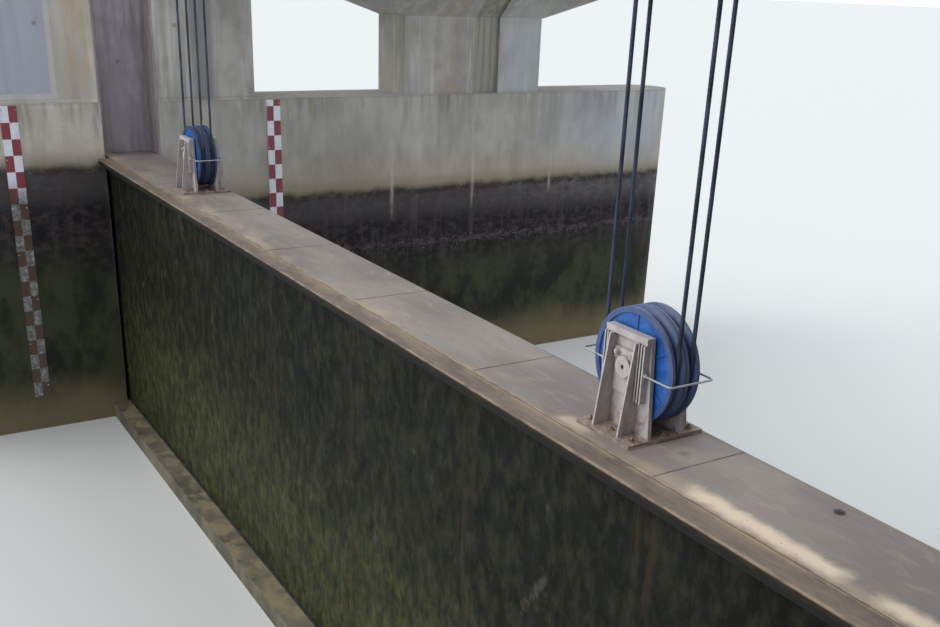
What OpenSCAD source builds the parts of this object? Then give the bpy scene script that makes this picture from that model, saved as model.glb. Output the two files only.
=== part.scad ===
// Vertical-lift sluice gate in one bay of a barrage, in millimetres.
// +X runs along the gate from the left pier to the right one, +Y downstream and +Z up.
// The origin is on the river bed, at the middle of the bay and halfway along the piers.

/* [Bay] */
// Clear width between the two piers
clear_span = 12700; // [9500:50:15000]
// Thickness of each pier
pier_th = 900; // [860:10:1400]
// Height of the pier walls
pier_wall_h = 4290; // [4000:10:4800]
// Height of the slot columns, up to the hoist beams
column_h = 9200; // [8800:50:11000]
// Width of the bevelled edges of the columns
edge_bevel = 25; // [10:1:40]

/* [Pier plan, from the nose to the tail] */
// Straight wall from the nose to the slot
up_len = 3010; // [2600:10:3800]
// Width of the gate slot, along the pier
slot_w = 740; // [700:5:800]
// Depth of the gate slot into the pier
slot_d = 420; // [380:5:460]
// Length of the column downstream of the slot
down_len = 1340; // [1100:10:1700]
// Open gap between the slot column and the bridge column
gap_len = 2310; // [2000:10:2500]
// Length of the bridge column
bridge_len = 2460; // [2300:10:3000]
// Straight wall from the bridge column to the tail
tail_len = 2450; // [1800:10:3000]

/* [Recessed panel of the upstream column] */
// Border between the panel and the slot
panel_border = 505; // [350:5:600]
// Length of the panel
panel_len = 2000; // [1500:10:2100]
// Height of the panel's lower edge above the pier wall
panel_rise = 52; // [40:1:120]
// Depth of the panel
panel_depth = 45; // [20:1:60]
// Width of the panel's sloping edge
panel_slope = 60; // [30:1:90]

/* [Bridge column and cap] */
// Set-back of the bridge column from the pier face
bridge_setback = 40; // [10:1:60]
// Height of the bridge column's top
bridge_column_h = 5390; // [5200:10:6000]
// Width of the groove in the bridge column
groove_w = 445; // [300:5:600]
// Depth of the groove
groove_depth = 60; // [30:1:80]
// Offset of the groove downstream of the column's middle
groove_offset = 215; // [100:5:500]
// Height of the cap's sloping soffit
cap_flare_h = 550; // [400:10:700]
// Overhang of the cap beyond the column, up and down the river
cap_over_y = 1500; // [1200:10:1650]
// Overhang of the cap beyond the column, across the river
cap_over_x = 590; // [400:10:700]
// Height of the cap's upright faces
cap_h = 900; // [600:10:1200]

/* [Hoist deck] */
// Width of each hoist beam
beam_w = 420; // [300:10:500]
// Height of each hoist beam
beam_h = 700; // [500:10:900]
// Clear gap between the hoist beams, for the ropes
beam_gap = 900; // [800:10:1100]
// Thickness of the hoist slab
slab_t = 300; // [200:10:400]
// Overhang of the slab beyond the beams
slab_over = 250; // [150:10:400]

/* [Sill and slot guides] */
// Height of the sill
sill_h = 200; // [120:5:300]
// Length of the sill, along the river
sill_len = 1100; // [900:10:1400]
// Thickness of the downstream guide plate, which carries the water load
track_t = 20; // [12:1:30]
// Thickness of the upstream guide plate
guide_t = 12; // [8:1:16]
// Distance that the guide plates stay behind the pier face
guide_inset = 15; // [10:1:40]
// Distance that the guide plates stop below the hoist beams
guide_stop = 300; // [200:10:500]

/* [Staff gauges] */
// Width of a gauge board
gauge_w = 200; // [150:5:250]
// Thickness of a gauge board
gauge_t = 8; // [5:1:12]
// Height of a gauge board
gauge_h = 3800; // [3000:10:3900]
// Distance from the slot to the upstream gauge
gauge_up = 1000; // [700:10:1200]
// Distance from the downstream column to the downstream gauge
gauge_down = 153; // [100:1:300]
// Distance from the top of the pier wall to the top of a gauge
gauge_drop = 18; // [5:1:60]

/* [Gate leaf] */
// Height of the leaf
leaf_h = 3400; // [3200:10:3600]
// Thickness of the skin plate
skin_t = 14; // [10:1:20]
// Distance from the upstream slot face to the skin plate
skin_inset = 60; // [56:1:80]
// Thickness of the top plate
top_t = 16; // [12:1:24]
// Running clearance of the leaf in its guides
leaf_gap = 5; // [5:0.5:7]
// Clearance between the leaf and the back of the slot
end_gap = 20; // [15:1:40]
// Reach of the lip upstream of the skin plate
lip_reach = 146; // [110:1:160]
// Depth of the lip's outer edge
lip_drop = 72; // [50:1:100]
// Thickness of the lip's plate
lip_t = 14; // [10:1:18]
// Spacing of the diaphragms
diaphragm_pitch = 1724; // [1500:1:1740]
// Number of diaphragms
diaphragms_n = 8; // [4:2:8]
// Thickness of the webs of girders and diaphragms
web_t = 12; // [10:1:16]
// Thickness of their downstream flanges
flange_t = 16; // [12:1:22]
// Height of a girder's flange
flange_w = 230; // [180:5:260]
// Number of horizontal girders
girders_n = 4; // [3:1:4]
// Height of the lowest girder above the foot of the leaf
girder_foot = 260; // [200:5:320]
// Radius of the holes in the diaphragms
hole_r = 150; // [100:5:170]
// Thickness of the slide shoes
shoe_t = 30; // [24:1:40]
// Height of a slide shoe
shoe_h = 420; // [300:10:450]
// Radius of the side seals' bulb
bulb_r = 18; // [14:1:20]
// Thickness of the rubber under the skin plate
foot_seal_t = 30; // [20:1:40]
// Clearance between the rubber and the sill when the gate is shut
foot_gap = 0.3; // [0.3:0.1:2]

/* [Lifting blocks] */
// Distance from the middle of the bay to a block
block_x = 3780; // [3000:10:4200]
// Distance from the upstream slot face to a block's middle
block_in = 424; // [410:1:430]
// Length of a block's base plate along the gate
base_l = 446; // [440:2:500]
// Width of a block's base plate across the gate
base_w = 530; // [520:2:560]
// Thickness of the base plate
base_t = 22; // [16:1:30]
// Height of a bracket above the top plate
bracket_h = 587; // [570:1:640]
// Width of a bracket at its foot
bracket_foot_w = 430; // [410:2:436]
// Width of a bracket at its head
bracket_head_w = 340; // [330:2:380]
// Thickness of a bracket's plate
bracket_t = 24; // [16:1:28]
// Height of the head bar
head_bar_h = 36; // [24:1:44]
// Depth of the head bar in front of the plate
head_bar_d = 30; // [20:1:40]
// Distance of a gusset from the middle of the bracket
gusset_x = 105; // [95:1:115]
// Thickness of a gusset
gusset_t = 12; // [8:1:16]
// Depth of a gusset at its foot
gusset_foot = 125; // [110:1:130]
// Depth of a gusset at its head
gusset_head = 57; // [45:1:70]
// Lower edge of the doubler plate above the top plate
doubler_foot = 222; // [200:1:240]
// Upper edge of the doubler plate above the top plate
doubler_head = 477; // [465:1:500]
// Thickness of the doubler plate
doubler_t = 10; // [8:1:14]
// Foot of the guard bar's channel above the top plate
channel_foot = 224; // [200:1:260]
// Depth of the guard bar's channel
channel_d = 42; // [36:1:50]

/* [Sheaves, axle and guard bars] */
// Height of the axle above the top plate
axle_h = 383; // [378:1:400]
// Radius of the axle
axle_r = 42; // [36:1:46]
// Running clearance of a sheave on its axle
axle_gap = 0.05; // [0.02:0.01:0.09]
// Radius of the discs on the ends of the axle
cap_disc_r = 60; // [54:1:64]
// Thickness of these discs
cap_disc_t = 30; // [20:1:36]
// Radius of the grease hole in each disc
grease_r = 13; // [8:1:16]
// Height of the keeper plates above the axle
keeper_h = 62; // [50:1:70]
// Outer radius of a sheave
sheave_r = 322; // [300:1:330]
// Width of a sheave
sheave_w = 92; // [80:1:94]
// Gap between the two sheaves
sheave_gap = 5; // [5:0.5:6]
// Gap between a sheave and its bracket
cheek_gap = 7; // [5:0.5:9]
// Depth of the rope groove
groove_d = 38; // [32:1:42]
// Thickness of a sheave's web
sheave_web_t = 22; // [16:1:30]
// Depth of the web behind the outer face of its rim
web_in = 10; // [8:1:16]
// Width of a sheave's rim, across its radius
rim_band = 66; // [56:1:80]
// Width of the ring on the rim's outer face, which stands proud of the web
ring_band = 32; // [24:1:40]
// Radius of a sheave's hub
hub_r = 84; // [70:1:95]
// Number of ribs on each side of a sheave
ribs_n = 6; // [6:1:10]
// Thickness of these ribs
rib_t = 14; // [10:1:18]
// Radius of a guard bar's rod
guard_r = 6; // [5:0.5:8]
// Distance of a guard bar outside the rim
guard_out = 48; // [38:1:60]

/* [Ropes] */
// Diameter of a rope
rope_d = 24; // [20:0.5:26]
// Clearance of a rope in its groove
rope_gap = 0.3; // [0.3:0.1:1]
// Thickness of an anchor plate
anchor_t = 30; // [20:1:40]
// Length of a rope socket's cone
socket_l = 160; // [120:5:200]
// Radius of a rope socket at its wide end
socket_r = 34; // [30:1:38]

/* [Hidden] */

// Places along X, measured from the middle of the bay
face_x = clear_span / 2;
outer_x = face_x + pier_th;
slot_back_x = face_x + slot_d;
leaf_x = slot_back_x - end_gap;

// Places along Y, from the nose at the upstream end to the tail
end_r = pier_th / 2;
nose_y = -(2 * end_r + up_len + slot_w + down_len + gap_len + bridge_len + tail_len) / 2;
wall_y = nose_y + end_r;
slot_y = wall_y + up_len;
slot_end_y = slot_y + slot_w;
column_end_y = slot_end_y + down_len;
bridge_y = column_end_y + gap_len;
tail_y = bridge_y + bridge_len + tail_len;

// Places of the leaf
skin_y = slot_y + skin_inset;
track_y = slot_end_y - track_t;
top_edge_y = track_y - leaf_gap;
flange_y = top_edge_y - shoe_t;
leaf_z = sill_h;
top_z = leaf_z + leaf_h;
block_y = slot_y + block_in;

// Places of a lifting block
axle_z = top_z + axle_h;
cheek_y = sheave_gap / 2 + sheave_w + cheek_gap;
bracket_face = cheek_y + bracket_t;
doubler_face = bracket_face + doubler_t;
sheave_y = (sheave_gap + sheave_w) / 2;
rope_r = rope_d / 2;
turn_r = sheave_r - groove_d + rope_gap + rope_r;
guard_x = sheave_r + guard_out;
guard_y = bracket_face + channel_d / 2 + 4;
channel_x = (gusset_x + gusset_t / 2 + bracket_head_w / 2) / 2;
channel_w = bracket_head_w / 2 - gusset_x - gusset_t / 2 - 6;

// Places of the rope ends
slab_z = column_h + beam_h;
lug_h = 120;
socket_z = slab_z - anchor_t - lug_h - socket_l;

eps = 1;

concrete = [0.62, 0.60, 0.55];
dark_steel = [0.36, 0.33, 0.31];
silted_steel = [0.50, 0.46, 0.41];
bracket_paint = [0.64, 0.61, 0.57];
sheave_blue = [0.12, 0.27, 0.62];
rope_grey = [0.16, 0.19, 0.24];

// Height of girder i in whole millimetres: the girders stand closer where the water presses harder
function girder_z(i) = round(leaf_z + girder_foot
    + (leaf_h - girder_foot) * pow(i / girders_n, 0.9));

// A copy on the other side of the bay
module left() mirror([1, 0, 0]) children();

// Plan of a column with bevelled corners
module bevelled_plan(x0, x1, y0, y1, b) {
    polygon([[x0 + b, y0], [x1 - b, y0], [x1, y0 + b], [x1, y1 - b],
        [x1 - b, y1], [x0 + b, y1], [x0, y1 - b], [x0, y0 + b]]);
}

// Plan of a wall with one half-round end
module wall_plan(y_flat, y_round) {
    y0 = min(y_flat, y_round);
    translate([face_x, y0]) square([pier_th, abs(y_round - y_flat)]);
    translate([face_x + end_r, y_round]) circle(r = end_r, $fn = 96);
}

// Outline in X and Z, extruded along Y from y0 to y1
module extrude_y(y0, y1) {
    translate([0, y1, 0]) rotate([90, 0, 0]) linear_extrude(y1 - y0) children();
}

// Outline in Y and Z, extruded along X from x0 to x1
module extrude_x(x0, x1) {
    translate([x0, 0, 0]) rotate([90, 0, 90]) linear_extrude(x1 - x0) children();
}

// Block between two corners
module span_box(a, b) {
    translate(a) cube([b[0] - a[0], b[1] - a[1], b[2] - a[2]]);
}

module wall_upstream() {
    color(concrete) linear_extrude(pier_wall_h) wall_plan(slot_y, wall_y);
}

module wall_downstream() {
    color(concrete) linear_extrude(pier_wall_h) wall_plan(slot_end_y, tail_y);
}

module slot_wall() {
    color(concrete) span_box([slot_back_x, slot_y, 0], [outer_x, slot_end_y, column_h]);
}

// The panel narrows as it goes into the column: two wedges crossed
module panel_recess() {
    y1 = slot_y - panel_border;
    y0 = y1 - panel_len;
    z0 = pier_wall_h + panel_rise;
    z1 = column_h - panel_rise;
    s = panel_slope;
    intersection() {
        translate([0, 0, z0]) linear_extrude(z1 - z0)
            polygon([[face_x, y0], [face_x + panel_depth, y0 + s],
                [face_x + panel_depth, y1 - s], [face_x, y1]]);
        extrude_y(y0, y1)
            polygon([[face_x, z0], [face_x + panel_depth, z0 + s],
                [face_x + panel_depth, z1 - s], [face_x, z1]]);
    }
}

module column_upstream() {
    color(concrete) difference() {
        translate([0, 0, pier_wall_h]) linear_extrude(column_h - pier_wall_h)
            polygon([[face_x + edge_bevel, wall_y], [outer_x - edge_bevel, wall_y],
                [outer_x, wall_y + edge_bevel], [outer_x, slot_y],
                [face_x + edge_bevel, slot_y], [face_x, slot_y - edge_bevel],
                [face_x, wall_y + edge_bevel]]);
        panel_recess();
    }
}

module column_downstream() {
    color(concrete) translate([0, 0, pier_wall_h]) linear_extrude(column_h - pier_wall_h)
        polygon([[face_x + edge_bevel, slot_end_y], [outer_x, slot_end_y],
            [outer_x, column_end_y - edge_bevel], [outer_x - edge_bevel, column_end_y],
            [face_x + edge_bevel, column_end_y], [face_x, column_end_y - edge_bevel],
            [face_x, slot_end_y + edge_bevel]]);
}

groove_y = bridge_y + bridge_len / 2 + groove_offset;

module bridge_column() {
    x0 = face_x + bridge_setback;
    x1 = outer_x - bridge_setback;
    color(concrete) difference() {
        translate([0, 0, pier_wall_h]) linear_extrude(bridge_column_h - pier_wall_h)
            bevelled_plan(x0, x1, bridge_y, bridge_y + bridge_len, edge_bevel);
        for (x = [x0 - eps, x1 - groove_depth])
            span_box([x, groove_y - groove_w / 2, pier_wall_h - eps],
                [x + groove_depth + eps, groove_y + groove_w / 2, bridge_column_h + eps]);
    }
}

// The cap's soffit flares on all four sides, and the groove runs up it
module bridge_cap() {
    x0 = face_x + bridge_setback;
    x1 = outer_x - bridge_setback;
    y0 = bridge_y;
    y1 = bridge_y + bridge_len;
    z0 = bridge_column_h;
    z1 = z0 + cap_flare_h;
    z2 = z1 + cap_h;
    color(concrete) difference() {
        intersection() {
            extrude_y(y0 - cap_over_y, y1 + cap_over_y)
                polygon([[x0, z0], [x1, z0], [x1 + cap_over_x, z1], [x1 + cap_over_x, z2],
                    [x0 - cap_over_x, z2], [x0 - cap_over_x, z1]]);
            extrude_x(x0 - cap_over_x, x1 + cap_over_x)
                polygon([[y0, z0], [y1, z0], [y1 + cap_over_y, z1], [y1 + cap_over_y, z2],
                    [y0 - cap_over_y, z2], [y0 - cap_over_y, z1]]);
        }
        extrude_y(groove_y - groove_w / 2, groove_y + groove_w / 2) {
            polygon([[x0, z0 - eps], [x0 + groove_depth, z0 - eps], [x0 + groove_depth, z0],
                [x0 + groove_depth - cap_over_x, z1], [x0 - cap_over_x, z1], [x0, z0]]);
            polygon([[x1, z0 - eps], [x1 - groove_depth, z0 - eps], [x1 - groove_depth, z0],
                [x1 - groove_depth + cap_over_x, z1], [x1 + cap_over_x, z1], [x1, z0]]);
        }
    }
}

module slot_guides() {
    x0 = face_x + guide_inset;
    z1 = column_h - guide_stop;
    color(dark_steel) {
        span_box([x0, track_y, sill_h], [slot_back_x, slot_end_y, z1]);
        span_box([x0, slot_y, sill_h], [slot_back_x, slot_y + guide_t, z1]);
    }
}

module gauge_pair() {
    z1 = pier_wall_h - gauge_drop;
    for (y = [slot_y - gauge_up - gauge_w, column_end_y + gauge_down])
        span_box([face_x - gauge_t, y, z1 - gauge_h], [face_x, y + gauge_w, z1]);
}

module staff_gauges() {
    color("white") {
        gauge_pair();
        left() gauge_pair();
    }
}

// Slab and beams are cast in one piece, and the ropes pass up between the beams
module hoist_deck() {
    inner = beam_gap / 2;
    outer = inner + beam_w;
    edge = outer + slab_over;
    top = slab_z + slab_t;
    color(concrete) translate([0, block_y, 0]) extrude_x(-outer_x, outer_x)
        polygon([[-outer, column_h], [-inner, column_h], [-inner, slab_z], [inner, slab_z],
            [inner, column_h], [outer, column_h], [outer, slab_z], [edge, slab_z],
            [edge, top], [-edge, top], [-edge, slab_z], [-outer, slab_z]]);
}

module sill() {
    y = (slot_y + slot_end_y) / 2;
    color(concrete) intersection() {
        span_box([-slot_back_x, y - sill_len / 2, 0], [slot_back_x, y + sill_len / 2, sill_h]);
        union() {
            span_box([-face_x, y - sill_len, 0], [face_x, y + sill_len, sill_h]);
            span_box([-slot_back_x, slot_y, 0], [slot_back_x, slot_end_y, sill_h]);
        }
    }
}

module skin_plate() {
    color(silted_steel) span_box([-leaf_x, skin_y, leaf_z + foot_seal_t + foot_gap],
        [leaf_x, skin_y + skin_t, top_z - top_t]);
}

module top_plate() {
    color(silted_steel) span_box([-leaf_x, skin_y, top_z - top_t], [leaf_x, top_edge_y, top_z]);
}

// A plate bent down at its outer edge, with a round nosing and a bar along the joint
module top_lip() {
    y0 = skin_y - lip_reach;
    step = 12;
    nose_r = lip_t;
    bar_r = 9;
    zt = top_z - step;
    x = face_x - 2 * leaf_gap;
    color(silted_steel) extrude_x(-x, x) union() {
        translate([y0 + nose_r, zt - lip_t]) square([lip_reach - nose_r, lip_t]);
        translate([y0, zt - lip_drop]) square([lip_t, lip_drop - nose_r]);
        translate([y0 + nose_r, zt - nose_r]) circle(r = nose_r, $fn = 48);
        translate([skin_y - bar_r, zt]) circle(r = bar_r, $fn = 32);
    }
}

module girders() {
    y0 = skin_y + skin_t;
    x = leaf_x - web_t;
    color(dark_steel) for (i = [0 : girders_n - 1]) {
        z = girder_z(i);
        span_box([-x, y0, z - web_t / 2], [x, flange_y - flange_t, z + web_t / 2]);
        span_box([-x, flange_y - flange_t, z - flange_w / 2], [x, flange_y, z + flange_w / 2]);
    }
}

// One diaphragm panel between two levels, with a hole in its web and a flange
module diaphragm_panel(x, z0, z1) {
    y0 = skin_y + skin_t;
    mid = (z0 + z1) / 2;
    difference() {
        span_box([x - web_t / 2, y0, z0], [x + web_t / 2, flange_y - flange_t, z1]);
        translate([x - web_t, (y0 + flange_y - flange_t) / 2, mid]) rotate([0, 90, 0])
            cylinder(r = hole_r, h = 2 * web_t, $fn = 64);
    }
}

module diaphragms() {
    foot = leaf_z + foot_seal_t + foot_gap;
    levels = concat([foot], [for (i = [0 : girders_n - 1]) girder_z(i)], [top_z - top_t]);
    color(dark_steel) for (k = [0 : diaphragms_n - 1]) {
        x = (k - (diaphragms_n - 1) / 2) * diaphragm_pitch;
        for (i = [1 : girders_n]) {
            z1 = i == girders_n ? levels[i + 1] : levels[i + 1] - web_t / 2;
            diaphragm_panel(x, levels[i] + web_t / 2, z1);
        }
        span_box([x - web_t / 2, skin_y + skin_t, foot],
            [x + web_t / 2, flange_y - flange_t, levels[1] - web_t / 2]);
    }
}

module end_plates() {
    foot = leaf_z + foot_seal_t + foot_gap;
    color(dark_steel) for (s = [-1, 1])
        span_box([s > 0 ? leaf_x - web_t : -leaf_x, skin_y + skin_t, foot],
            [s > 0 ? leaf_x : -leaf_x + web_t, flange_y, top_z - top_t]);
}

module slide_shoes() {
    foot = leaf_z + foot_seal_t + foot_gap;
    len = slot_d - end_gap - guide_inset - 40;
    color([0.55, 0.42, 0.25]) for (s = [-1, 1]) for (i = [0 : girders_n - 1]) {
        z = max(girder_z(i), foot + shoe_h / 2);
        span_box([s > 0 ? leaf_x - len : -leaf_x, flange_y, z - shoe_h / 2],
            [s > 0 ? leaf_x : -leaf_x + len, flange_y + shoe_t, z + shoe_h / 2]);
    }
}

// Side seals bear on the upstream guide plates, and the foot seal on the sill
module seals() {
    foot = leaf_z + foot_gap;
    reach = skin_inset - guide_t - leaf_gap;
    x = (face_x + guide_inset + leaf_x) / 2;
    color([0.10, 0.10, 0.11]) {
        for (s = [-1, 1]) {
            translate([s * x, skin_y - reach + bulb_r, foot + foot_seal_t])
                cylinder(r = bulb_r, h = leaf_h - foot_seal_t - 2 * top_t, $fn = 48);
            span_box([s * x - bulb_r / 2, skin_y - reach + bulb_r, foot + foot_seal_t],
                [s * x + bulb_r / 2, skin_y, top_z - 2 * top_t + foot_gap]);
        }
        span_box([-leaf_x, skin_y - 20, foot], [leaf_x, skin_y + skin_t + 20, foot + foot_seal_t]);
    }
}

// What belongs to a block is drawn round the block's own middle
module at_block() translate([block_x, block_y, 0]) children();

module block_base() {
    color(bracket_paint) at_block()
        span_box([-base_l / 2, -base_w / 2, top_z], [base_l / 2, base_w / 2, top_z + base_t]);
}

// A square-cut U channel beside the gusset, which holds the end of a guard bar
module guard_channel() {
    z0 = top_z + channel_foot;
    z1 = top_z + bracket_h - head_bar_h;
    rib = 10;
    difference() {
        union() {
            for (x = [-channel_w / 2, -rib / 2, channel_w / 2 - rib])
                span_box([channel_x + x, -bracket_face - channel_d, z0],
                    [channel_x + x + rib, -bracket_face, z1]);
            span_box([channel_x - channel_w / 2, -bracket_face - rib, z0],
                [channel_x + channel_w / 2, -bracket_face, z1]);
        }
        translate([channel_x - channel_w, -guard_y, axle_z]) rotate([0, 90, 0])
            cylinder(r = guard_r + axle_gap, h = 2 * channel_w, $fn = 32);
    }
}

module gusset() {
    z0 = top_z + base_t;
    z1 = top_z + bracket_h - head_bar_h;
    extrude_x(-gusset_t / 2, gusset_t / 2)
        polygon([[-bracket_face, z0], [-bracket_face, z1], [-bracket_face - gusset_head, z1],
            [-bracket_face - gusset_foot, z0]]);
}

module bracket() {
    z0 = top_z + base_t;
    z1 = top_z + bracket_h;
    difference() {
        union() {
            extrude_y(-bracket_face, -cheek_y)
                polygon([[-bracket_foot_w / 2, z0], [bracket_foot_w / 2, z0],
                    [bracket_head_w / 2, z1], [-bracket_head_w / 2, z1]]);
            span_box([-bracket_head_w / 2, -bracket_face - head_bar_d, z1 - head_bar_h],
                [bracket_head_w / 2, -bracket_face, z1]);
            span_box([-gusset_x, -doubler_face, top_z + doubler_foot],
                [gusset_x, -bracket_face, top_z + doubler_head]);
            for (s = [-1, 1]) translate([s * gusset_x, 0, 0]) gusset();
            guard_channel();
            mirror([1, 0, 0]) guard_channel();
        }
        translate([0, -cheek_y + eps, axle_z]) rotate([90, 0, 0])
            cylinder(r = axle_r + axle_gap, h = bracket_t + doubler_t + 2 * eps, $fn = 96);
    }
}

module brackets() {
    color(bracket_paint) at_block() {
        bracket();
        mirror([0, 1, 0]) bracket();
    }
}

// The axle with a disc on each end and the keeper plates above it
module axle() {
    color(bracket_paint) at_block() {
        difference() {
            translate([0, 0, axle_z]) rotate([90, 0, 0]) {
                cylinder(r = axle_r, h = 2 * doubler_face, center = true, $fn = 96);
                for (s = [-1, 1])
                    translate([0, 0, s * (doubler_face + cap_disc_t / 2)])
                        cylinder(r = cap_disc_r, h = cap_disc_t, center = true, $fn = 96);
            }
            for (s = [-1, 1])
                translate([0, s * (doubler_face + cap_disc_t), axle_z]) rotate([90, 0, 0])
                    cylinder(r = grease_r, h = 30, center = true, $fn = 32);
        }
        for (s = [-1, 1]) {
            y = s * (doubler_face + 6);
            span_box([-gusset_x + 12, y - 6, top_z + doubler_head - keeper_h],
                [gusset_x - 12, y + 6, top_z + doubler_head]);
        }
    }
}

// One guard bar: a rod bent round the rims, its ends in the channels
module guard_bar() {
    bend = 24;
    x1 = guard_x;
    translate([0, 0, axle_z]) {
        for (s = [-1, 1]) {
            translate([channel_x - channel_w / 2, s * guard_y, 0]) rotate([0, 90, 0])
                cylinder(r = guard_r, h = x1 - bend - channel_x + channel_w / 2, $fn = 32);
            translate([x1 - bend, s * (guard_y - bend), 0]) rotate([0, 0, s > 0 ? 0 : -90])
                rotate_extrude(angle = 90, $fn = 96) translate([bend, 0]) circle(r = guard_r, $fn = 32);
        }
        translate([x1, -guard_y + bend, 0]) rotate([-90, 0, 0])
            cylinder(r = guard_r, h = 2 * (guard_y - bend), $fn = 32);
    }
}

module guard_bars() {
    color([0.70, 0.70, 0.70]) at_block() {
        guard_bar();
        mirror([1, 0, 0]) guard_bar();
    }
}

// Half section of a sheave: radius along x, width along y. The web lies near the outer face, which
// is the bracket's side: towards +y if out is 1, and towards -y if it is -1.
module sheave_section(out) {
    half = sheave_w / 2;
    rim_in = sheave_r - rim_band;
    floor_r = sheave_r - groove_d;
    mouth = rope_r + groove_d * 0.42;
    web_face = half - web_in;
    difference() {
        union() {
            translate([axle_r + axle_gap, -half]) square([hub_r - axle_r, sheave_w]);
            translate([hub_r - eps, out > 0 ? web_face - sheave_web_t : -web_face])
                square([rim_in - hub_r + 2 * eps, sheave_web_t]);
            translate([rim_in, out > 0 ? -half : -web_face]) square([rim_band, sheave_w - web_in]);
            translate([sheave_r - ring_band, -half]) square([ring_band, sheave_w]);
        }
        translate([floor_r + rope_r + rope_gap, 0]) circle(r = rope_r + rope_gap, $fn = 48);
        polygon([[floor_r + rope_r + rope_gap, -rope_r - rope_gap], [sheave_r + eps, -mouth],
            [sheave_r + eps, mouth], [floor_r + rope_r + rope_gap, rope_r + rope_gap]]);
    }
}

// A sheave with its middle at x, and at y from the middle of the block. It has low ribs on its
// outer face, and deep ones on the face that looks at the other sheave.
module sheave(x, y) {
    out = y < 0 ? 1 : -1;
    web_face = sheave_w / 2 - web_in;
    low = web_in - 4;
    back = web_face - sheave_web_t;
    deep = back + sheave_w / 2 - 10;
    color(sheave_blue) translate([x, block_y + y, axle_z]) rotate([90, 0, 0]) {
        rotate_extrude($fn = 180) sheave_section(out);
        for (i = [0.5 : ribs_n - 0.5]) rotate([0, 0, 360 * i / ribs_n]) {
            span_box([hub_r - 2, -rib_t / 2, out > 0 ? web_face - eps : -web_face - low],
                [sheave_r - ring_band + 2, rib_t / 2, out > 0 ? web_face + low : -web_face + eps]);
            span_box([hub_r - 2, -rib_t / 2, out > 0 ? back - deep : -back - eps],
                [sheave_r - rim_band + 2, rib_t / 2, out > 0 ? back + eps : -back + deep]);
        }
    }
}

// The half turn of rope under each sheave
module rope_turns() {
    color(rope_grey) at_block() for (s = [-1, 1])
        translate([0, s * sheave_y, axle_z]) rotate([90, 180, 0])
            rotate_extrude(angle = 180, $fn = 144) translate([turn_r, 0])
                circle(r = rope_r, $fn = 32);
}

// The straight falls from the sheaves up to the sockets
module ropes() {
    color(rope_grey) at_block() for (s = [-1, 1]) for (x = [-turn_r, turn_r])
        translate([x, s * sheave_y, axle_z]) cylinder(r = rope_r, h = socket_z - axle_z, $fn = 32);
}

// Anchor plate under the slab, with a lug and a rope socket for each fall
module rope_anchor() {
    plate_l = 2 * turn_r + 260;
    plate_w = 420;
    lug_w = 70;
    lug_t = 26;
    color(dark_steel) at_block() {
        span_box([-plate_l / 2, -plate_w / 2, slab_z - anchor_t], [plate_l / 2, plate_w / 2, slab_z]);
        for (s = [-1, 1]) for (x = [-turn_r, turn_r]) translate([x, s * sheave_y, 0]) {
            span_box([-lug_w / 2, -lug_t / 2, socket_z + socket_l],
                [lug_w / 2, lug_t / 2, slab_z - anchor_t]);
            translate([0, 0, socket_z])
                cylinder(r1 = rope_r + 6, r2 = socket_r, h = socket_l, $fn = 48);
        }
    }
}

left() wall_upstream();  // left_wall_upstream
left() slot_wall();  // left_slot_wall
left() wall_downstream();  // left_wall_downstream
left() column_upstream();  // left_column_upstream
left() column_downstream();  // left_column_downstream
left() bridge_column();  // left_bridge_column
left() bridge_cap();  // left_bridge_cap
left() slot_guides();  // left_slot_guides
wall_upstream();  // right_wall_upstream
slot_wall();  // right_slot_wall
wall_downstream();  // right_wall_downstream
column_upstream();  // right_column_upstream
column_downstream();  // right_column_downstream
bridge_column();  // right_bridge_column
bridge_cap();  // right_bridge_cap
slot_guides();  // right_slot_guides
staff_gauges();
hoist_deck();
sill();
skin_plate();
top_plate();
top_lip();
girders();
diaphragms();
end_plates();
slide_shoes();
seals();
left() block_base();  // left_block_base
left() brackets();  // left_brackets
left() axle();  // left_axle
left() guard_bars();  // left_guard_bars
sheave(-block_x, -sheave_y);  // left_sheave_front
sheave(-block_x, sheave_y);  // left_sheave_rear
left() rope_turns();  // left_rope_turns
left() ropes();  // left_ropes
left() rope_anchor();  // left_rope_anchor
block_base();  // right_block_base
brackets();  // right_brackets
axle();  // right_axle
guard_bars();  // right_guard_bars
sheave(block_x, -sheave_y);  // right_sheave_front
sheave(block_x, sheave_y);  // right_sheave_rear
rope_turns();  // right_rope_turns
ropes();  // right_ropes
rope_anchor();  // right_rope_anchor
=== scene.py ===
# %% [markdown]
# # A sluice gate in one bay of a barrage
# The steel leaf, the concrete piers and the lifting blocks come from the CAD model at their real
# sizes, and stay where they are. This lesson dresses them. It gives every surface a finish made of
# nodes, and adds what is too small or too many to draw in CAD: bolts, welds, the strands of the
# ropes, shells and grit.

# %% Load the CAD model
import math

import bpy
from mathutils import Matrix, Vector


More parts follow.
